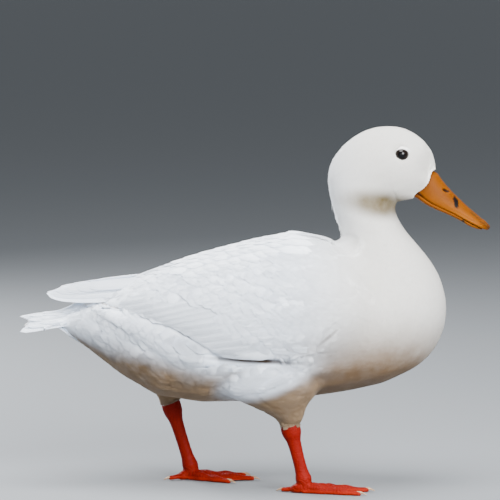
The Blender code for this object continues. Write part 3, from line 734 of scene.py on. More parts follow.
# ---- Wings ---------------------------------------------------------------------------------------
# A folded wing shows as rows of long vanes, each row over the roots of the next: median and greater
# coverts, then secondaries whose tips make the wing's rear edge. Tertials and scapulars lie on top.
SECONDARY_ROOTS = ((39, 133), (30, 143), (17, 155), (4, 165), (-14, 173), (-31, 181), (-49, 186))
SECONDARY_TIPS = ((-30, 127), (-40, 132), (-55, 141), (-69, 148), (-90, 152.5), (-114, 160),
                  (-137, 167.5))
SECONDARIES, SECONDARY_WIDTH = 13, 17
GREATER_COVERTS, MEDIAN_COVERTS = 15, 16
TERTIAL_WIDTHS = (19, 19, 18, 17)
TERTIAL_ROOTS = ((-34, 52), (-40, 43), (-46, 34), (-52, 26))          # seen from above (x, y)
TERTIAL_TIPS = ((-134, 29), (-141, 24.5), (-143, 20), (-137, 15))
SCAPULAR_ROWS = ((50, -34, 14), (54, -38, 27), (56, -38, 39), (54, -30, 50))    # x from, to; y
SCAPULARS_IN_ROW, SCAPULAR_LENGTH, SCAPULAR_WIDTH = 9, 34, 16
SHAFT_AT = -0.25           # where the shaft runs across a flight feather
ACROSS = np.array((-1, -0.72, -0.4, SHAFT_AT, -0.1, 0.25, 0.65, 1))


def hit_from(origin, direction, otherwise):
    """Where a line of sight meets the surface, or the surface's nearest point to another place."""
    place, _, _, _ = surface.ray_cast(Vector(origin), Vector(direction))
    return np.array(place or surface.find_nearest(otherwise)[0])


def seen_beside(side, x, z):
    return hit_from((x, side * 200, z), (0, -side, 0), (x, side * 45, z))


def seen_above(x, y):
    return hit_from((x, y, 400), (0, 0, -1), (x, y, 170))


def quill_vanes(name, paths, widths, rises, rows=12, tip=3.0, tilt=0.6, drape=True, frames=None, rag=0.6,
                relief=1.0):
    """Long vanes on given middle lines, each with a raised shaft. Its outer edge lies over the next."""
    count = len(paths)
    t = np.linspace(0, 1, rows + 1)
    centre, beside, outward = (np.empty((count, rows + 1, 3)) for _ in range(3))
    for i, path in enumerate(paths):
        line = np.array(path, float)
        steps = np.concatenate([[0], np.cumsum(np.linalg.norm(np.diff(line, axis=0), axis=1))])
        for k in range(3):
            centre[i, :, k] = np.interp(t * steps[-1], steps, line[:, k])
        ahead = np.gradient(centre[i], axis=0)
        if drape:
            for j, point in enumerate(centre[i].tolist()):
                centre[i, j], outward[i, j] = surface.find_nearest(point)[:2]
        else:
            outward[i] = frames[i]
        across = np.cross(ahead, outward[i])
        beside[i] = across / np.linalg.norm(across, axis=1)[:, None]
    lengths = np.linalg.norm(np.diff(centre, axis=1), axis=2).sum(axis=1)
    widths = np.array(widths, float)
    rises = np.array(rises, float)
    height = rises[:, :1] + (rises[:, 1:] - rises[:, :1]) * t[None] ** 0.6
    outline = np.maximum(vane_outline(t[:-1], tip), 0.22)
    ragged = bird.normal(0, rag, (count, rows)) * (np.arange(rows) > 1)
    ragged = np.clip(ragged, -1.2, 1.2)
    half = widths[:, None] / 2 * outline[None]
    grid = centre[:, :-1, None] + beside[:, :-1, None] * (half[:, :, None] * ACROSS)[:, :, :, None]
    step = centre[:, 1:] - centre[:, :-1]
    step /= np.linalg.norm(step, axis=2)[:, :, None]
    grid = grid + step[:, :, None] * (ragged[:, :, None] * np.abs(ACROSS) ** 3)[:, :, :, None]
    shaft = 0.35 * np.exp(-((ACROSS - SHAFT_AT) / 0.06) ** 2)
    dome = 0.04 * widths[:, None, None] * (1 - ACROSS**2) * outline[None, :, None]
    over = (relief * (dome + shaft)
            + np.broadcast_to(tilt, count)[:, None, None] * ACROSS * outline[None, :, None])
    if drape:
        grid = draped(grid, height[:, :-1, None] + over)
        ends = draped(centre[:, -1], height[:, -1])
    else:
        grid = grid + outward[:, :-1, None] * (height[:, :-1, None] + over)[:, :, :, None]
        ends = centre[:, -1] + outward[:, -1] * height[:, -1:]
    run, angle, _ = along_spine(centre[:, 0])
    shade = np.clip(bird.normal(0.05, 0.04, count), 0, 0.2)
    return closed_vanes(name, grid, ends, lengths, widths, run, angle, shade)


def spread(line, count):
    """Evenly spaced points along a smooth line through a few."""
    fine = smooth_line(line)
    steps = np.concatenate([[0], np.cumsum(np.linalg.norm(np.diff(fine, axis=0), axis=1))])
    places = np.linspace(0, steps[-1], count)
    return np.stack([np.interp(places, steps, fine[:, k]) for k in range(fine.shape[1])], axis=1)


def wing_row(side, count, begin, end):
    """Middle lines on the side of the bird, between two shares of the secondaries' length."""
    paths = []
    for root, tip in zip(spread(SECONDARY_ROOTS, count), spread(SECONDARY_TIPS, count)):
        line = root + (tip - root) * np.linspace(begin, end, 5)[:, None]
        paths.append([seen_beside(side, x, z) for x, z in line])
    return paths


long_vane = barbed_plumage("long_white_feathers", 0.00012, with_stain_and_shade=False)
for side, label in ((-1, "right"), (1, "left")):
    made = quill_vanes(f"secondaries_{label}", wing_row(side, SECONDARIES, 0, 1),
                       [SECONDARY_WIDTH] * SECONDARIES, [(0.2, 3.4)] * SECONDARIES, rows=18, tilt=side * 0.5,
                       relief=0.45)
    made += quill_vanes(f"greater_coverts_{label}", wing_row(side, GREATER_COVERTS, -0.14, 0.36),
                        bird.uniform(12, 15, GREATER_COVERTS), [(0.2, 3.0)] * GREATER_COVERTS, rows=14,
                        tip=2.0, tilt=side * 0.35, relief=0.6)
    made += quill_vanes(f"median_coverts_{label}", wing_row(side, MEDIAN_COVERTS, -0.22, 0.10),
                        bird.uniform(10, 13, MEDIAN_COVERTS), [(0.1, 2.9)] * MEDIAN_COVERTS, rows=12,
                        tip=1.8, tilt=side * 0.25, relief=0.6)
    paths = []
    for (x, y), (x_tip, y_tip) in zip(TERTIAL_ROOTS, TERTIAL_TIPS):
        share = np.linspace(0, 1, 7)
        paths.append([seen_above(x + (x_tip - x) * s, side * (y + (y_tip - y) * s)) for s in share])
    made += quill_vanes(f"tertials_{label}", paths, TERTIAL_WIDTHS, [(0.2, 3.0)] * len(paths), rows=20,
                        tilt=side * 0.5, relief=0.6)
    paths, widths = [], []
    for front, back, beside in SCAPULAR_ROWS:
        for x in np.linspace(front, back, SCAPULARS_IN_ROW):
            x += bird.normal(0, 1.5)
            length = SCAPULAR_LENGTH * bird.uniform(0.9, 1.1)
            inward = 0.10 * length * beside / 50
            shares = (0, 0.33, 0.67, 1)
            paths.append([seen_above(x - length * s, side * (beside - inward * s)) for s in shares])
            widths.append(SCAPULAR_WIDTH * bird.uniform(0.9, 1.1))
    made += quill_vanes(f"scapulars_{label}", paths, widths, [(0.0, 3.4)] * len(paths), rows=12, tip=2.0,
                        tilt=side * 0.3)
    finish_feathers(made, long_vane)


# ---- Primaries -----------------------------------------------------------------------------------
# The longest quills of each wing. Folded, they lie stacked over the rump, their tips stepped one
# behind the next, and end in one narrow point over the tail.
# The stack from front to back: its middle (x, y, z), half width in mm and roll in degrees.
QUILL_STACK = (((-70, 33, 184), 9, 46), ((-95, 29, 180), 12, 44), ((-120, 23.5, 177), 12.5, 42),
               ((-140, 18, 174.8), 11.8, 43), ((-156, 13.5, 173.6), 10.4, 46), ((-169, 10.5, 173.2), 9.0, 48),
               ((-177, 8.6, 173.0), 7.0, 48), ((-182.3, 7.7, 172.8), 3.0, 48))
PRIMARY_TIPS = (-182.3, -179, -174, -166, -156, -145)    # outermost quill first (x)
PRIMARY_SHIFT = (0.9, 0.1, -0.75, -0.9, -0.9, -0.9)      # place of each across it, 1 at the outer edge
PRIMARY_WIDTH = 13
PRIMARY_ROWS = np.linspace(0, 14, 21).round().astype(int)     # which of 15 places each row of a vane takes
stack = np.array([[*middle, half, roll] for middle, half, roll in QUILL_STACK])
for side, label in ((-1, "right"), (1, "left")):
    paths, frames, rises = [], [], []
    for order, x_tip in enumerate(PRIMARY_TIPS):
        x = np.linspace(-78, x_tip, 15)
        y, z, half, roll = (np.interp(-x, -stack[:, 0], stack[:, k]) for k in (1, 2, 3, 4))
        roll = np.radians(roll)
        wide = np.stack([0 * x, side * np.cos(roll), -np.sin(roll)], 1)
        thick = np.stack([0 * x, side * np.sin(roll), np.cos(roll)], 1)
        offset = np.maximum(0, half - 5.5) * PRIMARY_SHIFT[order]
        paths.append(np.stack([x, side * y, z], 1) + wide * offset[:, None])
        frames.append(thick)
        rises.append((-4.5 + 0.35 * order, -1.3 + 0.4 * order))
    paths = [path[PRIMARY_ROWS] for path in paths]
    frames = [outward[PRIMARY_ROWS] for outward in frames]
    made = quill_vanes(f"primaries_stack_{label}", paths, [PRIMARY_WIDTH] * len(paths), rises, rows=20,
                       tip=5.5, tilt=side * 0.25, drape=False, frames=frames, rag=0.2, relief=0.5)
    finish_feathers(made, long_vane, f"primaries_{label}")


# ---- Thighs --------------------------------------------------------------------------------------
# A tuft of long soft feathers hangs over the outside of each thigh. It is kept free of stains and painted
# shade and stays very white.
TUFT_ROOTS = ((50, 109), (43, 104), (38, 99), (33, 94), (29, 89))
TUFT_TIPS = ((2, 106), (-14, 101), (-19, 96), (-18, 89), (-2, 84))
TUFT_SAG = np.array((0, -2.0))
TUFT_UNDER, TUFT_OVER = 17, 15     # vanes in the lower and in the upper layer
soft_vane = barbed_plumage("soft_white_feathers", 0.00008)


def side_fan(side, roots, tips, count, begin=0.0, end=1.0):
    """Middle lines on the side of the bird that sag a little on their way from root to tip."""
    shares = begin + (end - begin) * np.linspace(0, 1, 6)
    paths = []
    for root, tip in zip(spread(roots, count), spread(tips, count)):
        line = [root + (tip - root) * s + TUFT_SAG * math.sin(math.pi * s) for s in shares]
        paths.append([seen_beside(side, x, z) for x, z in line])
    return paths


for side, label in ((-1, "right"), (1, "left")):
    under = side_fan(side, TUFT_ROOTS, TUFT_TIPS, TUFT_UNDER)
    made = quill_vanes(f"thigh_tuft_{label}", under, [9] * TUFT_UNDER, [(0.1, 2.4)] * TUFT_UNDER, rows=14,
                       tip=1.5, tilt=side * 0.15, rag=0.8, relief=0.2)
    over = side_fan(side, TUFT_ROOTS, TUFT_TIPS, TUFT_OVER, -0.25, 0.6)
    made += quill_vanes(f"thigh_tuft_over_{label}", over, [8.5] * TUFT_OVER, [(0.0, 2.7)] * TUFT_OVER,
                        rows=12, tip=1.5, tilt=side * 0.1, rag=0.8, relief=0.2)
    finish_feathers(made, soft_vane)


# ---- Tail ----------------------------------------------------------------------------------------
# Eighteen stiff quills rooted in the fleshy stump, spread in a low tent, the inner ones over the
# outer. The outermost hang lowest, so that the fan shows two points from the side.
TAIL_QUILLS, TAIL_QUILL_WIDTH = 18, 14
TAIL_ROOT, TAIL_TIP = (-150, 149.5), (-207, 149.5)       # middle line (x, z)
TAIL_HALF = (9, 26)        # half width of the fan between the shafts, at root and tip
TAIL_DROOP = (3, 10.5)     # how far the outer quills hang below the middle ones
TAIL_NOTCH = 8             # how much shorter the quills between middle and edge are
# Rows of coverts, the hindmost first: root and tip (x), count, width.
TAIL_COVERT_ROWS = ((-152, -196, 7, 13), (-142, -186, 8, 14), (-128, -172, 9, 15))


def tail_tent(x, across):
    """Height of the tent of quills, its slope and its half width, at a distance back."""
    along = np.clip((TAIL_ROOT[0] - x) / (TAIL_ROOT[0] - TAIL_TIP[0]), 0, 1)
    half = TAIL_HALF[0] + (TAIL_HALF[1] - TAIL_HALF[0]) * along
    droop = TAIL_DROOP[0] + (TAIL_DROOP[1] - TAIL_DROOP[0]) * along
    height = TAIL_ROOT[1] + (TAIL_TIP[1] - TAIL_ROOT[1]) * along + 2.5 * np.sin(math.pi * along)
    return height - droop * across**2, 2 * droop * across / (half + 5), half


paths, frames, rises, tilts = [], [], [], []
for order in range(TAIL_QUILLS):
    across = 2 * order / (TAIL_QUILLS - 1) - 1
    x_tip = TAIL_TIP[0] + TAIL_NOTCH * math.sin(math.pi * abs(across) ** 1.5) + 2.5 * across**2
    x = np.linspace(TAIL_ROOT[0], x_tip, 15)
    z, slope, half = tail_tent(x, across)
    paths.append(np.stack([x, half * across, z], 1))
    frames.append(np.stack([0 * x, slope, 0 * x + 1], 1) / np.sqrt(1 + slope**2)[:, None])
    rises.append((1.4 * (1 - abs(across)), 1.1 * (1 - abs(across))))
    tilts.append(0.7 * across)
made = quill_vanes("tail_quills", paths, [TAIL_QUILL_WIDTH] * TAIL_QUILLS, rises, rows=14, tip=2.8,
                   tilt=np.array(tilts), drape=False, frames=frames, rag=0.35)
for up, label in ((1, "upper"), (-1, "under")):
    for row, (x_root, x_tip, count, width) in enumerate(TAIL_COVERT_ROWS):
        paths, frames = [], []
        for across in np.linspace(-1, 1, count) * (0.96 if up > 0 else 0.8):
            x = np.linspace(x_root, x_tip + bird.normal(0, 2), 15)
            z, slope, half = tail_tent(x, across)
            y = half * across
            z = z + up * 0.9
            for i in range(15):
                over, _, _, _ = surface.ray_cast((x[i], y[i], 147 + up * 60), (0, 0, -up))
                if over:
                    z[i] = max(z[i], over[2]) if up > 0 else min(z[i], over[2])
            z = np.convolve(np.pad(z, 2, mode="edge"), np.ones(5) / 5, mode="valid")
            paths.append(np.stack([x, y, z], 1))
            frames.append(np.stack([0 * x, up * slope, 0 * x + up], 1) / np.sqrt(1 + slope**2)[:, None])
        on_belly = up < 0 and row > 0
        rise = (0.2 + 0.5 * row, 1.0 + 0.5 * row) if up > 0 else (-0.3, 0.5)
        if on_belly:
            rise = (-0.6, 2.2)
        made += quill_vanes(f"{label}_tail_coverts_{row}", paths, [width] * count, [rise] * count, rows=14,
                            tip=1.9, tilt=0.0, drape=on_belly, frames=frames, rag=0.6,
                            relief=0.3 if on_belly else 1.0)
finish_feathers(made, long_vane, "tail")


# ---- Eyes and lids -------------------------------------------------------------------------------
# A dark glossy ball, near black with a deep brown iris, held by a thin bare rim of lid that makes
# the opening an oval a little longer than high.
LID_OPENING = (5.7, 4.5)   # half length and half height, mm
# Rings of the lid, as a size of the opening and a height: first over the ball, then over the skin.
LID_ROWS = ((0.99, -0.5), (0.97, 0.05), (0.99, 0.20), (1.05, 0.26))
LID_SKIRT = ((1.13, 0.3), (1.30, 0.3), (1.50, 0.2), (1.80, -0.9), (1.20, -2.6))
LID_POINTS = 56            # points round the opening
PUPIL = 3.0                # radius, mm
BALL_DRAWN_BACK = 1.3      # how far the ball lies back under the lids, mm


def off_axis(tree, radii):
    """Distance from the eye's axis, side on, as a share of the radii."""
    place = add_node(tree, "ShaderNodeTexCoord").outputs["Object"]
    moved = vector_of(tree, "SUBTRACT", place, tuple(eye_middles["right"] * MM))
    sized = vector_of(tree, "DIVIDE", moved, (radii[0], 1, radii[1]))
    return length_of(tree, vector_of(tree, "MULTIPLY", sized, (1, 0, 1)))


ball_dark, tree, shader = new_material("eye_ball", 0.04)
iris = eased(tree, off_axis(tree, (1, 1)), PUPIL * 0.92 * MM, PUPIL * 1.08 * MM)
colour = blended(tree, iris, (0.001, 0.001, 0.0015, 1), (0.006, 0.0035, 0.0025, 1))
tree.links.new(colour, shader.inputs["Base Color"])
shader.inputs["Specular IOR Level"].default_value = 0.22
lid_skin, tree, shader = new_material("eye_lid", 0.7)
outside = eased(tree, off_axis(tree, in_metres(LID_OPENING)), 1.04, 1.20)
colour = blended(tree, outside, (0.012, 0.009, 0.008, 1), (0.62, 0.61, 0.60, 1))
tree.links.new(colour, shader.inputs["Base Color"])


def lofted(name, rings, material, shut_ends=True):
    """A skin drawn from ring to ring: each new ring is extruded from the last and moved into place."""
    shape = bmesh.new()
    vertices = [shape.verts.new(Vector(point) * MM) for point in rings[0]]
    edges = [shape.edges.new((a, b)) for a, b in zip(vertices, vertices[1:] + vertices[:1])]
    if shut_ends:
        shape.faces.new(vertices)
    for ring in rings[1:]:
        order = {vertex: i for i, vertex in enumerate(vertices)}
        made = bmesh.ops.extrude_edge_only(shape, edges=edges)["geom"]
        fresh = {item for item in made if isinstance(item, bmesh.types.BMVert)}
        follow = {}
        for vertex in fresh:
            old = next(e.other_vert(vertex) for e in vertex.link_edges if e.other_vert(vertex) in order)
            follow[order[old]] = vertex
        vertices = [follow[i] for i in range(len(ring))]
        for vertex, point in zip(vertices, ring):
            vertex.co = Vector(point) * MM
        edges = [next(e for e in a.link_edges if e.other_vert(a) is b)
                 for a, b in zip(vertices, vertices[1:] + vertices[:1])]
    if shut_ends:
        shape.faces.new(vertices)
    bmesh.ops.recalc_face_normals(shape, faces=shape.faces)
    mesh = bpy.data.meshes.new(name)
    shape.to_mesh(mesh)
    shape.free()
    mesh.shade_smooth()
    mesh.materials.append(material)
    piece = placed(name, mesh)
    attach(piece, "root")
    return piece


for side, label in ((-1, "right"), (1, "left")):
    middle = eye_middles[label]
    shape = bmesh.new()
    bmesh.ops.create_uvsphere(shape, u_segments=64, v_segments=40, radius=EYE_BALL * MM)
    for vertex in shape.verts:   # under the lids the ball draws back a little
        size = math.hypot(vertex.co.x / LID_OPENING[0], vertex.co.z / LID_OPENING[1]) / MM
        vertex.co.y -= side * BALL_DRAWN_BACK * float(ramp(1.03, 1.25, size)) * MM
    bmesh.ops.translate(shape, verts=shape.verts, vec=Vector(middle) * MM)
    mesh = bpy.data.meshes.new(f"eye_ball_{label}")
    shape.to_mesh(mesh)
    shape.free()
    mesh.shade_smooth()
    mesh.materials.append(ball_dark)
    ball = placed(f"eye_ball_{label}", mesh)
    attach(ball, "root")
    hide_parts(f"eye_{label}")
    rings = []
    for i in range(LID_POINTS):
        angle = 2 * math.pi * i / LID_POINTS
        ring = []
        for size, rise in LID_ROWS + LID_SKIRT:
            x = middle[0] + LID_OPENING[0] * size * math.cos(angle)
            z = middle[2] + LID_OPENING[1] * size * math.sin(angle)
            depth = EYE_BALL**2 - (x - middle[0]) ** 2 - (z - middle[2]) ** 2
            ball_y = side * math.sqrt(max(0.5, depth))
            y = middle[1] + ball_y + side * rise
            if (size, rise) in LID_SKIRT:
                on_skin = seen_beside(side, x, z)[1] + side * rise
                y = side * max(side * on_skin, side * (middle[1] + ball_y) + 0.25) if rise > 0 else on_skin
            ring.append((x, y, z))
        rings.append(ring)
    lid = lofted(f"eye_lid_{label}", rings + rings[:1], lid_skin, shut_ends=False)
    shape = bmesh.new()
    shape.from_mesh(lid.data)
    bmesh.ops.remove_doubles(shape, verts=shape.verts, dist=1e-7)
    bmesh.ops.recalc_face_normals(shape, faces=shape.faces)
    shape.to_mesh(lid.data)
    shape.free()


# ---- Bill ----------------------------------------------------------------------------------------
# Two horny halves under soft leathery skin. The upper is high at the face and flattens to a spoon
# with a hard nail at its tip, an open nostril on each side and a pale cutting edge.
# Stations of the upper half: ridge (x, z), edge (x, z), half width.
UPPER_BILL = ((150, 281, 137, 263.5, 9.5), (160, 277.8, 145, 258.8, 11.7), (166, 270.3, 153, 252.6, 13.2),
              (172, 263.3, 160.5, 248.6, 13.2), (178, 257.2, 168, 245.2, 13.2),
              (184, 251.4, 175.5, 241.8, 13.8), (190, 246, 183, 237.8, 14.6), (195.5, 241.4, 190, 234, 15),
              (200.5, 237, 196, 231, 14.1), (204.5, 233.2, 201, 228.7, 11), (207, 230.6, 204.8, 227.4, 5.6))
# Stations of the lower half: top (x, z), underside (x, z), half width.
LOWER_BILL = ((136.5, 261, 135.5, 257.8, 8), (144.3, 258.1, 142.4, 255.2, 10.2),
              (152.4, 252.3, 150.4, 249.6, 11.4), (160, 248.3, 158.2, 245.6, 11.6),
              (167.5, 244.7, 166, 242.2, 11.6), (175.2, 241, 173.9, 238.6, 12),
              (182.7, 236.9, 181.6, 234.6, 12.4), (189.7, 232.9, 188.6, 230.4, 12.4),
              (195.6, 229.9, 194.8, 227.9, 11), (199.8, 228, 199.3, 226.7, 7))
MOUTH_SHUT = np.array((0.5, 0, 1.25))  # how far the lower half is raised to meet the upper
NOSTRIL = (22.5, 13.6, 3.3, 1.25)     # along and above the bill's axis, half length, half height
NOSTRIL_DEPTH, NOSTRIL_RIM = 1.5, 0.35
NAIL_FROM, NAIL_HALF_WIDTH, NAIL_LIFT = 64, 5.0, 0.55
EDGE_GROOVE = (2.6, 0.35)             # height over the cutting edge and depth
ORANGE = ((0.085, 0.0215, 0.0002, 1), (0.135, 0.037, 0.0003, 1))     # the skin's darker and lighter parts
# Marks: centre and radii (mm), turn in degrees, colour, strength, softness.
BILL_MARKS = (
    ((188, 0, 236), (30, 40, 4.0), -34, (0.19, 0.055, 0.001, 1), 0.75, 0.7),         # pale edge, front
    ((158, 0, 249.5), (20, 40, 3.4), -36, (0.18, 0.048, 0.0006, 1), 0.6, 0.7),       # pale edge, back
    ((172, 0, 268), (18, 5.5, 9), -46, (0.19, 0.062, 0.006, 1), 0.15, 0.6),          # painted highlight along the ridge
    ((168.0, 0, 262.6), (3.1, 40, 1.2), -29, (0.015, 0.005, 0.002, 1), 1.0, 0.3),    # nostrils: painted shade in the openings
    ((176.8, -12, 252.8), (2.1, 9, 5.6), 10, (0.004, 0.003, 0.003, 1), 1.0, 0.25),   # black mark
    # scratches
    ((183, -14, 234.5), (1.4, 9, 2.2), 0, (0.01, 0.006, 0.004, 1), 0.95, 0.4),
    ((193, -8, 241), (5.5, 9, 0.9), -38, (0.05, 0.018, 0.004, 1), 0.85, 0.5),
    ((199, -6, 234.5), (5.0, 9, 1.2), -26, (0.05, 0.018, 0.004, 1), 0.85, 0.5),
    ((190, 10, 241), (2.2, 8, 1.2), -50, (0.05, 0.018, 0.006, 1), 0.7, 0.5),
    ((205.0, 0, 229.5), (4.0, 9, 3.0), -29, (0.045, 0.018, 0.006, 1), 0.8, 0.5),     # worn nail
    ((143.5, 0, 259.5), (4.5, 40, 1.8), -29, (0.05, 0.018, 0.006, 1), 0.8, 0.6),     # gape: painted shade in the corner of the mouth
)


def bill_relief(points, edge_height):
    """How far each point of the upper bill moves outwards, in mm."""
    along, above, beside = bill_places(points)
    u, v = (along - NOSTRIL[0]) / NOSTRIL[2], (above - NOSTRIL[1]) / NOSTRIL[3]
    far = np.hypot(u, v)
    relief = -NOSTRIL_DEPTH * (1 - ramp(0.55, 1.1, far))
    relief = relief + NOSTRIL_RIM * np.exp(-((far - 1.45) / 0.35) ** 2)
    relief[np.abs(beside) < 3.5] = 0
    beyond = ramp(-0.8, 0.8, np.abs(beside) - NAIL_HALF_WIDTH)
    relief += NAIL_LIFT * (ramp(NAIL_FROM - 0.8, NAIL_FROM + 0.8, along) * (1 - beyond))
    relief -= EDGE_GROOVE[1] * np.exp(-((edge_height - EDGE_GROOVE[0]) / 0.6) ** 2) * ramp(0, 8, along)
    return relief


rings = []
stations = smooth_line(UPPER_BILL, 12)
for ridge_x, ridge_z, edge_x, edge_z, half_width in stations:
    edge = np.array((edge_x, 0, edge_z))
    up = np.array((ridge_x, 0, ridge_z)) - edge
    angle = np.pi * (np.linspace(0, 1, 57) - 0.5)
    sway = np.sign(angle) * np.abs(np.sin(angle)) ** 0.9 * half_width
    height = 0.10 + 0.90 * np.maximum(0, np.cos(angle)) ** 0.85
    arch = edge + up * height[:, None] + np.array((0, 1, 0)) * sway[:, None]
    middle = edge + up * 0.35
    outward = arch - middle
    outward /= np.linalg.norm(outward, axis=1)[:, None]
    arch = arch + outward * bill_relief(arch, height * np.linalg.norm(up))[:, None]
    sway = half_width * 0.95 * np.linspace(1, -1, 11)
    vault = up * (0.14 * (1 - (sway / half_width) ** 2))[:, None]
    rings.append(np.concatenate([arch, edge + vault + np.array((0, 1, 0)) * sway[:, None]]))
tip = rings[-1]
ahead = np.array((0.87, 0, -0.49))
for shrink, push in ((0.82, 0.6), (0.5, 1.1), (0.2, 1.25)):
    rings.append(tip.mean(axis=0) + (tip - tip.mean(axis=0)) * shrink + ahead * push)
upper_rings = rings
rings = []
stations = smooth_line(LOWER_BILL, 10)
for top_x, top_z, base_x, base_z, half_width in stations:
    top, base = np.array((top_x, 0, top_z)), np.array((base_x, 0, base_z))
    middle, up = (top + base) / 2, (top - base) / 2
    angle = 2 * np.pi * np.arange(40) / 40
    rise = np.sign(np.cos(angle)) * np.abs(np.cos(angle)) ** 0.7
    rise[rise < 0] *= 1.6
    sway = np.sign(np.sin(angle)) * np.abs(np.sin(angle)) ** 0.75 * half_width
    rings.append(middle + MOUTH_SHUT + up * rise[:, None] + np.array((0, 1, 0)) * (sway * 1.08)[:, None])
tip = rings[-1]
for shrink, push in ((0.75, 0.5), (0.3, 0.8)):
    rings.append(tip.mean(axis=0) + (tip - tip.mean(axis=0)) * shrink + ahead * push)
lower_rings = rings


def bill_material():
    """Orange skin, paler along the cutting edge, with old dark marks and wear at the tip, a painted highlight
    along the ridge and painted shade in the nostrils and the mouth's corner.
    """
    made, tree, shader = new_material("orange_bill", 0.48)
    plain = add_node(tree, "ShaderNodeTexCoord").outputs["Object"]
    inputs = {"Vector": plain, "Scale": 260.0, "Detail": 3.0}
    wander = add_node(tree, "ShaderNodeTexNoise", inputs).outputs["Color"]
    wander = vector_of(tree, "SUBTRACT", wander, (0.5, 0.5, 0.5))
    wander = add_node(tree, "ShaderNodeVectorMath", {0: wander, "Scale": 0.004}, operation="SCALE").outputs[0]
    place = vector_of(tree, "ADD", plain, wander)
    colour = blended(tree, noise(tree, plain, 90.0, 5.0), *ORANGE)
    for centre, radii, turn, tint, strength, soft in BILL_MARKS:
        inside = patch(tree, place, in_metres(centre), in_metres(radii), math.radians(turn), soft)
        colour = blended(tree, sum_of(tree, "MULTIPLY", inside, strength), colour, tint)
    tree.links.new(colour, shader.inputs["Base Color"])
    fine = noise(tree, plain, 1400.0, 3.0)
    broad = noise(tree, plain, 220.0, 3.0)
    height = sum_of(tree, "ADD", sum_of(tree, "MULTIPLY", fine, 0.35), broad)
    bumped(tree, shader, height, 0.4, 0.0004)
    translucent(shader, 0.15, (1.0, 0.35, 0.1), 0.002)
    shader.inputs["Specular IOR Level"].default_value = 0.05
    return made


orange = bill_material()
upper_bill = lofted("upper_bill", upper_rings, orange)
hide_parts("bill_upper")
lower_bill = lofted("lower_bill", lower_rings, orange)
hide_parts("bill_lower")


# ---- Legs and feet -------------------------------------------------------------------------------
# Bare scaly skin over bone and sinew: a short shank, three front toes joined by a web, and a small
# hind toe set higher. All in one skin, with a horny claw at the end of each toe.
FOOT_SPREAD, TOE_IN = 42, math.radians(6)
LEGS = (("right", -1, (32.5, 55), (44, 10)), ("left", 1, (-73, 64.5), (-56, 10)))    # hock, joint (x, z)
SHANK = ((-0.20, 6.6, 6.0), (-0.06, 8.4, 7.2), (0.07, 8.0, 6.8), (0.22, 5.9, 4.9), (0.5, 5.2, 4.2),
         (0.78, 5.4, 4.6), (0.93, 6.8, 6.2), (1.04, 6.2, 5.8))    # share, half depth, half width
TOES = (("inner", 27, 47, 3.9, 2.5), ("middle", 0, 61, 4.3, 2.6), ("outer", -25, 56, 4.0, 2.5))
HIND_TOE = ("hind", 152, 17, 2.9, 1.9)     # name, angle, length, root and tip radius
ANKLE_BALL, ANKLE_HEIGHT, HIND_HEIGHT = 5.2, 6.2, 2.2
FAN_START, FAN_TOP = 3, 9.5
WEB_TOP, WEB_UNDER, WEB_SCALLOP = 2.3, 0.8, 0.17
CLAW_LENGTH, CLAW_RADIUS, CLAW_HEIGHT = 8.5, 1.6, 2.4
LEG_GRAIN = 0.8            # mm between the points of the leg's skin
SCUTE_PITCH = 0.0026       # from one band of scales on a toe to the next, in metres
KNUCKLES = 3
LEG_RED = ((0.12, 0.0025, 0.0025, 1), (0.19, 0.007, 0.003, 1))     # the skin's darker and lighter parts
SCALE_RED, WEB_RED = (0.14, 0.008, 0.002, 1), (0.27, 0.014, 0.002, 1)
HORN = ((0.20, 0.11, 0.06, 1), (0.42, 0.27, 0.16, 1))


def toe_way(side, degrees):
    turn = math.radians(degrees) + TOE_IN
    return np.array((math.cos(turn), -side * math.sin(turn), 0))


def toe_side(start, side, order, distance, place):
    """A point beside a toe's middle line, and the toe's half width there."""
    _, degrees, length, root, tip_radius = TOES[order]
    share = min(1, distance / length)
    half = (root + (tip_radius - root) * share) * (1 + 0.12 * math.cos(2 * math.pi * KNUCKLES * share))
    reach = half
    neighbour = order + (1 if place > 0 else -1)
    if place and 0 <= neighbour < len(TOES):
        gap = math.radians(abs(degrees - TOES[neighbour][1])) / 2
        reach = min(half, 0.8 * distance * math.tan(gap))
    return start + toe_way(side, degrees) * distance + toe_way(side, degrees - 90) * (reach * place), half


def on_toe(start, side, order, place, share):
    length = TOES[order][2] - 4.5 * abs(place) ** 3
    distance = FAN_START + (length - FAN_START) * share
    point, half = toe_side(start, side, order, distance, place)
    top = WEB_TOP + (half * 1.9 - WEB_TOP) * math.sqrt(max(0, 1 - place**2))
    return point, top * (1 - 0.4 * share**8), WEB_UNDER * abs(place) ** 3


def on_web(start, side, order, place, share):
    length = TOES[order][2] + (TOES[order + 1][2] - TOES[order][2]) * place
    length *= 0.95 * (1 - WEB_SCALLOP * math.sin(math.pi * place))
    distance = FAN_START + (length - FAN_START) * share
    near, _ = toe_side(start, side, order, distance, 1)
    far, _ = toe_side(start, side, order + 1, distance, -1)
    sag = 0.25 * math.sin(math.pi * place) * math.sin(9 * share + 5 * place)
    return near + (far - near) * place, WEB_TOP - 0.3 + sag, WEB_UNDER


def add_shell(shape, upper, lower):
    """Adds a closed sheet between an upper and a lower grid of points."""
    rows, columns = len(upper), len(upper[0])
    grids = [[[shape.verts.new(Vector(p) * MM) for p in row] for row in grid] for grid in (upper, lower)]
    for grid in grids:
        for i in range(rows - 1):
            for j in range(columns - 1):
                shape.faces.new((grid[i][j], grid[i][j + 1], grid[i + 1][j + 1], grid[i + 1][j]))
    loop = [(0, j) for j in range(columns)] + [(i, columns - 1) for i in range(1, rows)]
    loop += [(rows - 1, j) for j in range(columns - 2, -1, -1)] + [(i, 0) for i in range(rows - 2, 0, -1)]
    for (i, j), (k, m) in zip(loop, loop[1:] + loop[:1]):
        shape.faces.new((grids[0][i][j], grids[0][k][m], grids[1][k][m], grids[1][i][j]))


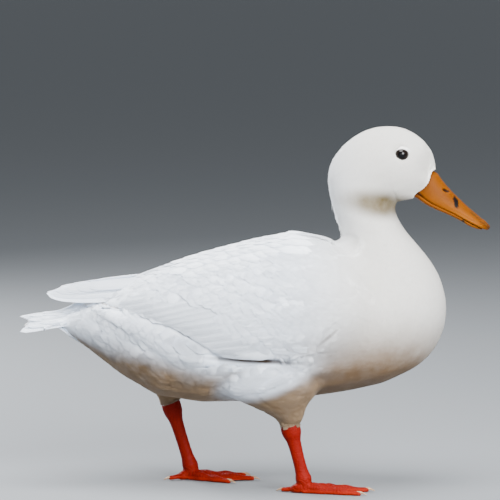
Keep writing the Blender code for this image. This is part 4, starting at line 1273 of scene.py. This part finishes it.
def add_tube(shape, rings):
    """Adds a closed tube through rings of points."""
    rows = [[shape.verts.new(Vector(point) * MM) for point in ring] for ring in rings]
    for a, b in zip(rows, rows[1:]):
        for i in range(len(a)):
            j = (i + 1) % len(a)
            shape.faces.new((a[i], a[j], b[j], b[i]))
    shape.faces.new(rows[0])
    shape.faces.new(rows[-1])


def round_ring(middle, beside, wide, high, count):
    """Points round a toe or a claw."""
    angles = 2 * np.pi * np.arange(count) / count
    return [middle + beside * (wide * math.cos(a)) + np.array((0, 0, high * math.sin(a))) for a in angles]


def foot_shape(shape, side, start):
    lines = []
    for order in range(len(TOES)):
        lines += [(on_toe, order, place) for place in np.linspace(-1, 1, 13)]
        if order < len(TOES) - 1:
            lines += [(on_web, order, place) for place in np.linspace(0.1, 0.9, 9)]
    upper, lower = [], []
    for share in np.linspace(0, 1, 48):
        found = [finder(start, side, order, place, share) for finder, order, place in lines]
        upper.append([(p[0], p[1], top + (FAN_TOP - top) * (1 - share) ** 3) for p, top, _ in found])
        lower.append([(p[0], p[1], under) for p, _, under in found])
    add_shell(shape, upper, lower)
    _, degrees, length, root, tip_radius = HIND_TOE
    way, beside = toe_way(side, degrees), toe_way(side, degrees - 90)
    rings = []
    for share in np.linspace(0, 1, 22):
        radius = root + (tip_radius - root) * share + (ANKLE_BALL - root) * max(0, 1 - (3 * share - 0.8) ** 2)
        middle = start - way * ANKLE_BALL + way * ((length + ANKLE_BALL) * share)
        middle[2] = HIND_HEIGHT + (start[2] - HIND_HEIGHT) * (1 - share) ** 1.6
        rings.append(round_ring(middle, beside, radius, radius, 20))
    add_tube(shape, rings)


def shank_shape(shape, side, hock, joint):
    top, foot = (np.array((x, side * FOOT_SPREAD, z)) for x, z in (hock, joint))
    down = (foot - top) / np.linalg.norm(foot - top)
    fore = np.cross((0, 1, 0), down)
    if fore[0] < 0:
        fore = -fore
    rings = []
    for share, depth, width in smooth_line(SHANK, 10):
        ring = []
        for i in range(36):
            angle = 2 * math.pi * i / 36
            front = max(0, math.cos(angle)) ** 2
            scute = 0.28 * front * abs(math.sin(math.pi * share * 9)) ** 0.6
            sinew = 0.35 * max(0, -math.cos(angle)) ** 6
            reach = fore * ((depth + scute + sinew) * math.cos(angle))
            sideways = np.array((0, (width + scute) * math.sin(angle), 0))
            ring.append(top + (foot - top) * share + reach + sideways)
        rings.append(ring)
    add_tube(shape, rings)


def leg_material(starts):
    """Red-orange scaly skin: scutes in bands across the toes, small scales between them."""
    made, tree, shader = new_material("orange_leg_skin", 0.5)
    place = add_node(tree, "ShaderNodeTexCoord").outputs["Object"]
    cells = add_node(tree, "ShaderNodeTexVoronoi", {"Vector": place, "Scale": 620.0})
    scale_edge = eased(tree, cells.outputs["Distance"], 0.25, 0.65)
    height_over = add_node(tree, "ShaderNodeSeparateXYZ", {0: place}).outputs["Z"]
    side_of = add_node(tree, "ShaderNodeSeparateXYZ", {0: place}).outputs["Y"]
    bands = []
    for start in starts:
        inputs = {0: place, 1: tuple(start * MM)}
        far = add_node(tree, "ShaderNodeVectorMath", inputs, operation="DISTANCE").outputs["Value"]
        turns = sum_of(tree, "MULTIPLY", far, 2 * math.pi / SCUTE_PITCH)
        bands.append(eased(tree, sum_of(tree, "SINE", turns, 0.0), 0.2, 1.0))
    left = sum_of(tree, "GREATER_THAN", side_of, 0.0)
    band = add_node(tree, "ShaderNodeMix", {0: left, 2: bands[0], 3: bands[1]}).outputs[0]
    raised = eased(tree, height_over, 0.0026, 0.0042)
    on_foot = sum_of(tree, "SUBTRACT", 1.0, eased(tree, height_over, 0.010, 0.014))
    banded = sum_of(tree, "MULTIPLY", band, sum_of(tree, "MULTIPLY", raised, on_foot))
    relief = sum_of(tree, "ADD", sum_of(tree, "MULTIPLY", scale_edge, 0.6), banded)
    bumped(tree, shader, relief, 0.7, 0.0004).invert = True
    colour = blended(tree, noise(tree, place, 70.0, 4.0), *LEG_RED)
    colour = blended(tree, sum_of(tree, "MULTIPLY", relief, 0.30, True), colour, SCALE_RED)
    webbing = sum_of(tree, "SUBTRACT", 1.0, raised)
    colour = blended(tree, sum_of(tree, "MULTIPLY", webbing, 0.45), colour, WEB_RED)
    tree.links.new(colour, shader.inputs["Base Color"])
    translucent(shader, 0.15, (1.0, 0.3, 0.15), 0.002)
    shader.inputs["Specular IOR Level"].default_value = 0.05
    return made


claw_horn, tree, shader = new_material("claw_horn", 0.35)
place = add_node(tree, "ShaderNodeTexCoord").outputs["Object"]
tree.links.new(blended(tree, noise(tree, place, 300.0, 3.0), *HORN), shader.inputs["Base Color"])
starts = [np.array((joint[0] - 4, side * FOOT_SPREAD, ANKLE_HEIGHT)) for _, side, _, joint in LEGS]
leg_skin = leg_material(starts)
for (label, side, hock, joint), start in zip(LEGS, starts):
    shape = bmesh.new()
    foot_shape(shape, side, start)
    shank_shape(shape, side, hock, joint)
    bmesh.ops.recalc_face_normals(shape, faces=shape.faces)
    leg = remeshed(f"leg_{label}", shape, LEG_GRAIN, 2)
    places, _ = mesh_points(leg.data)
    places[:, 2] = np.maximum(0, places[:, 2])
    leg.data.vertices.foreach_set("co", (places * MM).ravel())
    leg.data.update()
    leg.data.materials.append(leg_skin)
    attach(leg, "root")
    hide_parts(f"shank_{label}", f"foot_{label}")
    for name, degrees, length, _, _ in TOES + (HIND_TOE,):
        way, beside = toe_way(side, degrees), toe_way(side, degrees - 90)
        root = start + way * (length - 3.5)
        rings = []
        for share in np.linspace(0, 1, 12):
            radius = CLAW_RADIUS * (1 - 0.75 * share**1.3)
            middle = root + way * (CLAW_LENGTH * share)
            middle[2] = CLAW_HEIGHT + 0.6 * math.sin(math.pi * share) - (CLAW_HEIGHT - 0.9) * share**2
            rings.append(round_ring(middle, beside, 0.8 * radius, radius, 14))
        nail = lofted(f"horn_{name}_{label}", rings, claw_horn)
        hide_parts(f"claw_{name}_{label}")


# ---- Floor, light and camera ---------------------------------------------------------------------
# A plain pale studio floor, wide enough to fill the view from any side, one large soft lamp over
# the bird, one in front and weak fills, and the camera square on to the bird's right side.
FLOOR_GREY = (0.155, 0.167, 0.18, 1)
SKY, SKY_STRENGTH = (0.90, 0.95, 1.0, 1), 0.42
floor_mesh = bpy.data.meshes.new("floor")
shape = bmesh.new()
bmesh.ops.create_grid(shape, x_segments=1, y_segments=1, size=60.0)
shape.to_mesh(floor_mesh)
shape.free()
floor = placed("floor", floor_mesh)
floor_paint, tree, shader = new_material("floor_paint", 0.85)
shader.inputs["Base Color"].default_value = FLOOR_GREY
floor_mesh.materials.append(floor_paint)
world = bpy.data.worlds.new("studio")
world.use_nodes = True
world.node_tree.nodes["Background"].inputs["Color"].default_value = SKY
world.node_tree.nodes["Background"].inputs["Strength"].default_value = SKY_STRENGTH
bpy.context.scene.world = world
# Name, place, size in metres, power in watts, share of gloss.
LAMPS = (("over", (-0.1, -0.5, 1.9), 1.5, 112, 0.12), ("front", (0.9, -1.7, 1.0), 1.2, 132, 0.03),
         ("behind", (-1.2, 1.3, 1.0), 1.2, 86, 0.08), ("low", (-0.3, -2.4, 0.45), 1.6, 15, 0.0))
for name, place, size, power, shine in LAMPS:
    light = bpy.data.lights.new(name, "AREA")
    light.shape = "DISK"
    light.size = size
    light.energy = power
    light.specular_factor = shine
    lamp = placed(name, light)
    lamp.location = place
    lamp.rotation_euler = (Vector((0, 0, 0.15)) - lamp.location).to_track_quat("-Z", "Y").to_euler()
AIM, DISTANCE, ACROSS_VIEW = Vector((-3.4, 0, 209.4)) * MM, 3.2, 0.44
LOOKING_DOWN = math.radians(4.5)
camera_data = bpy.data.cameras.new("camera")
camera_data.lens = 36 * DISTANCE / ACROSS_VIEW
camera_data.clip_end = 300
camera = placed("camera", camera_data)
camera.location = AIM + DISTANCE * Vector((0, -math.cos(LOOKING_DOWN), math.sin(LOOKING_DOWN)))
camera.rotation_euler = (AIM - camera.location).to_track_quat("-Z", "Y").to_euler()
bpy.context.scene.camera = camera
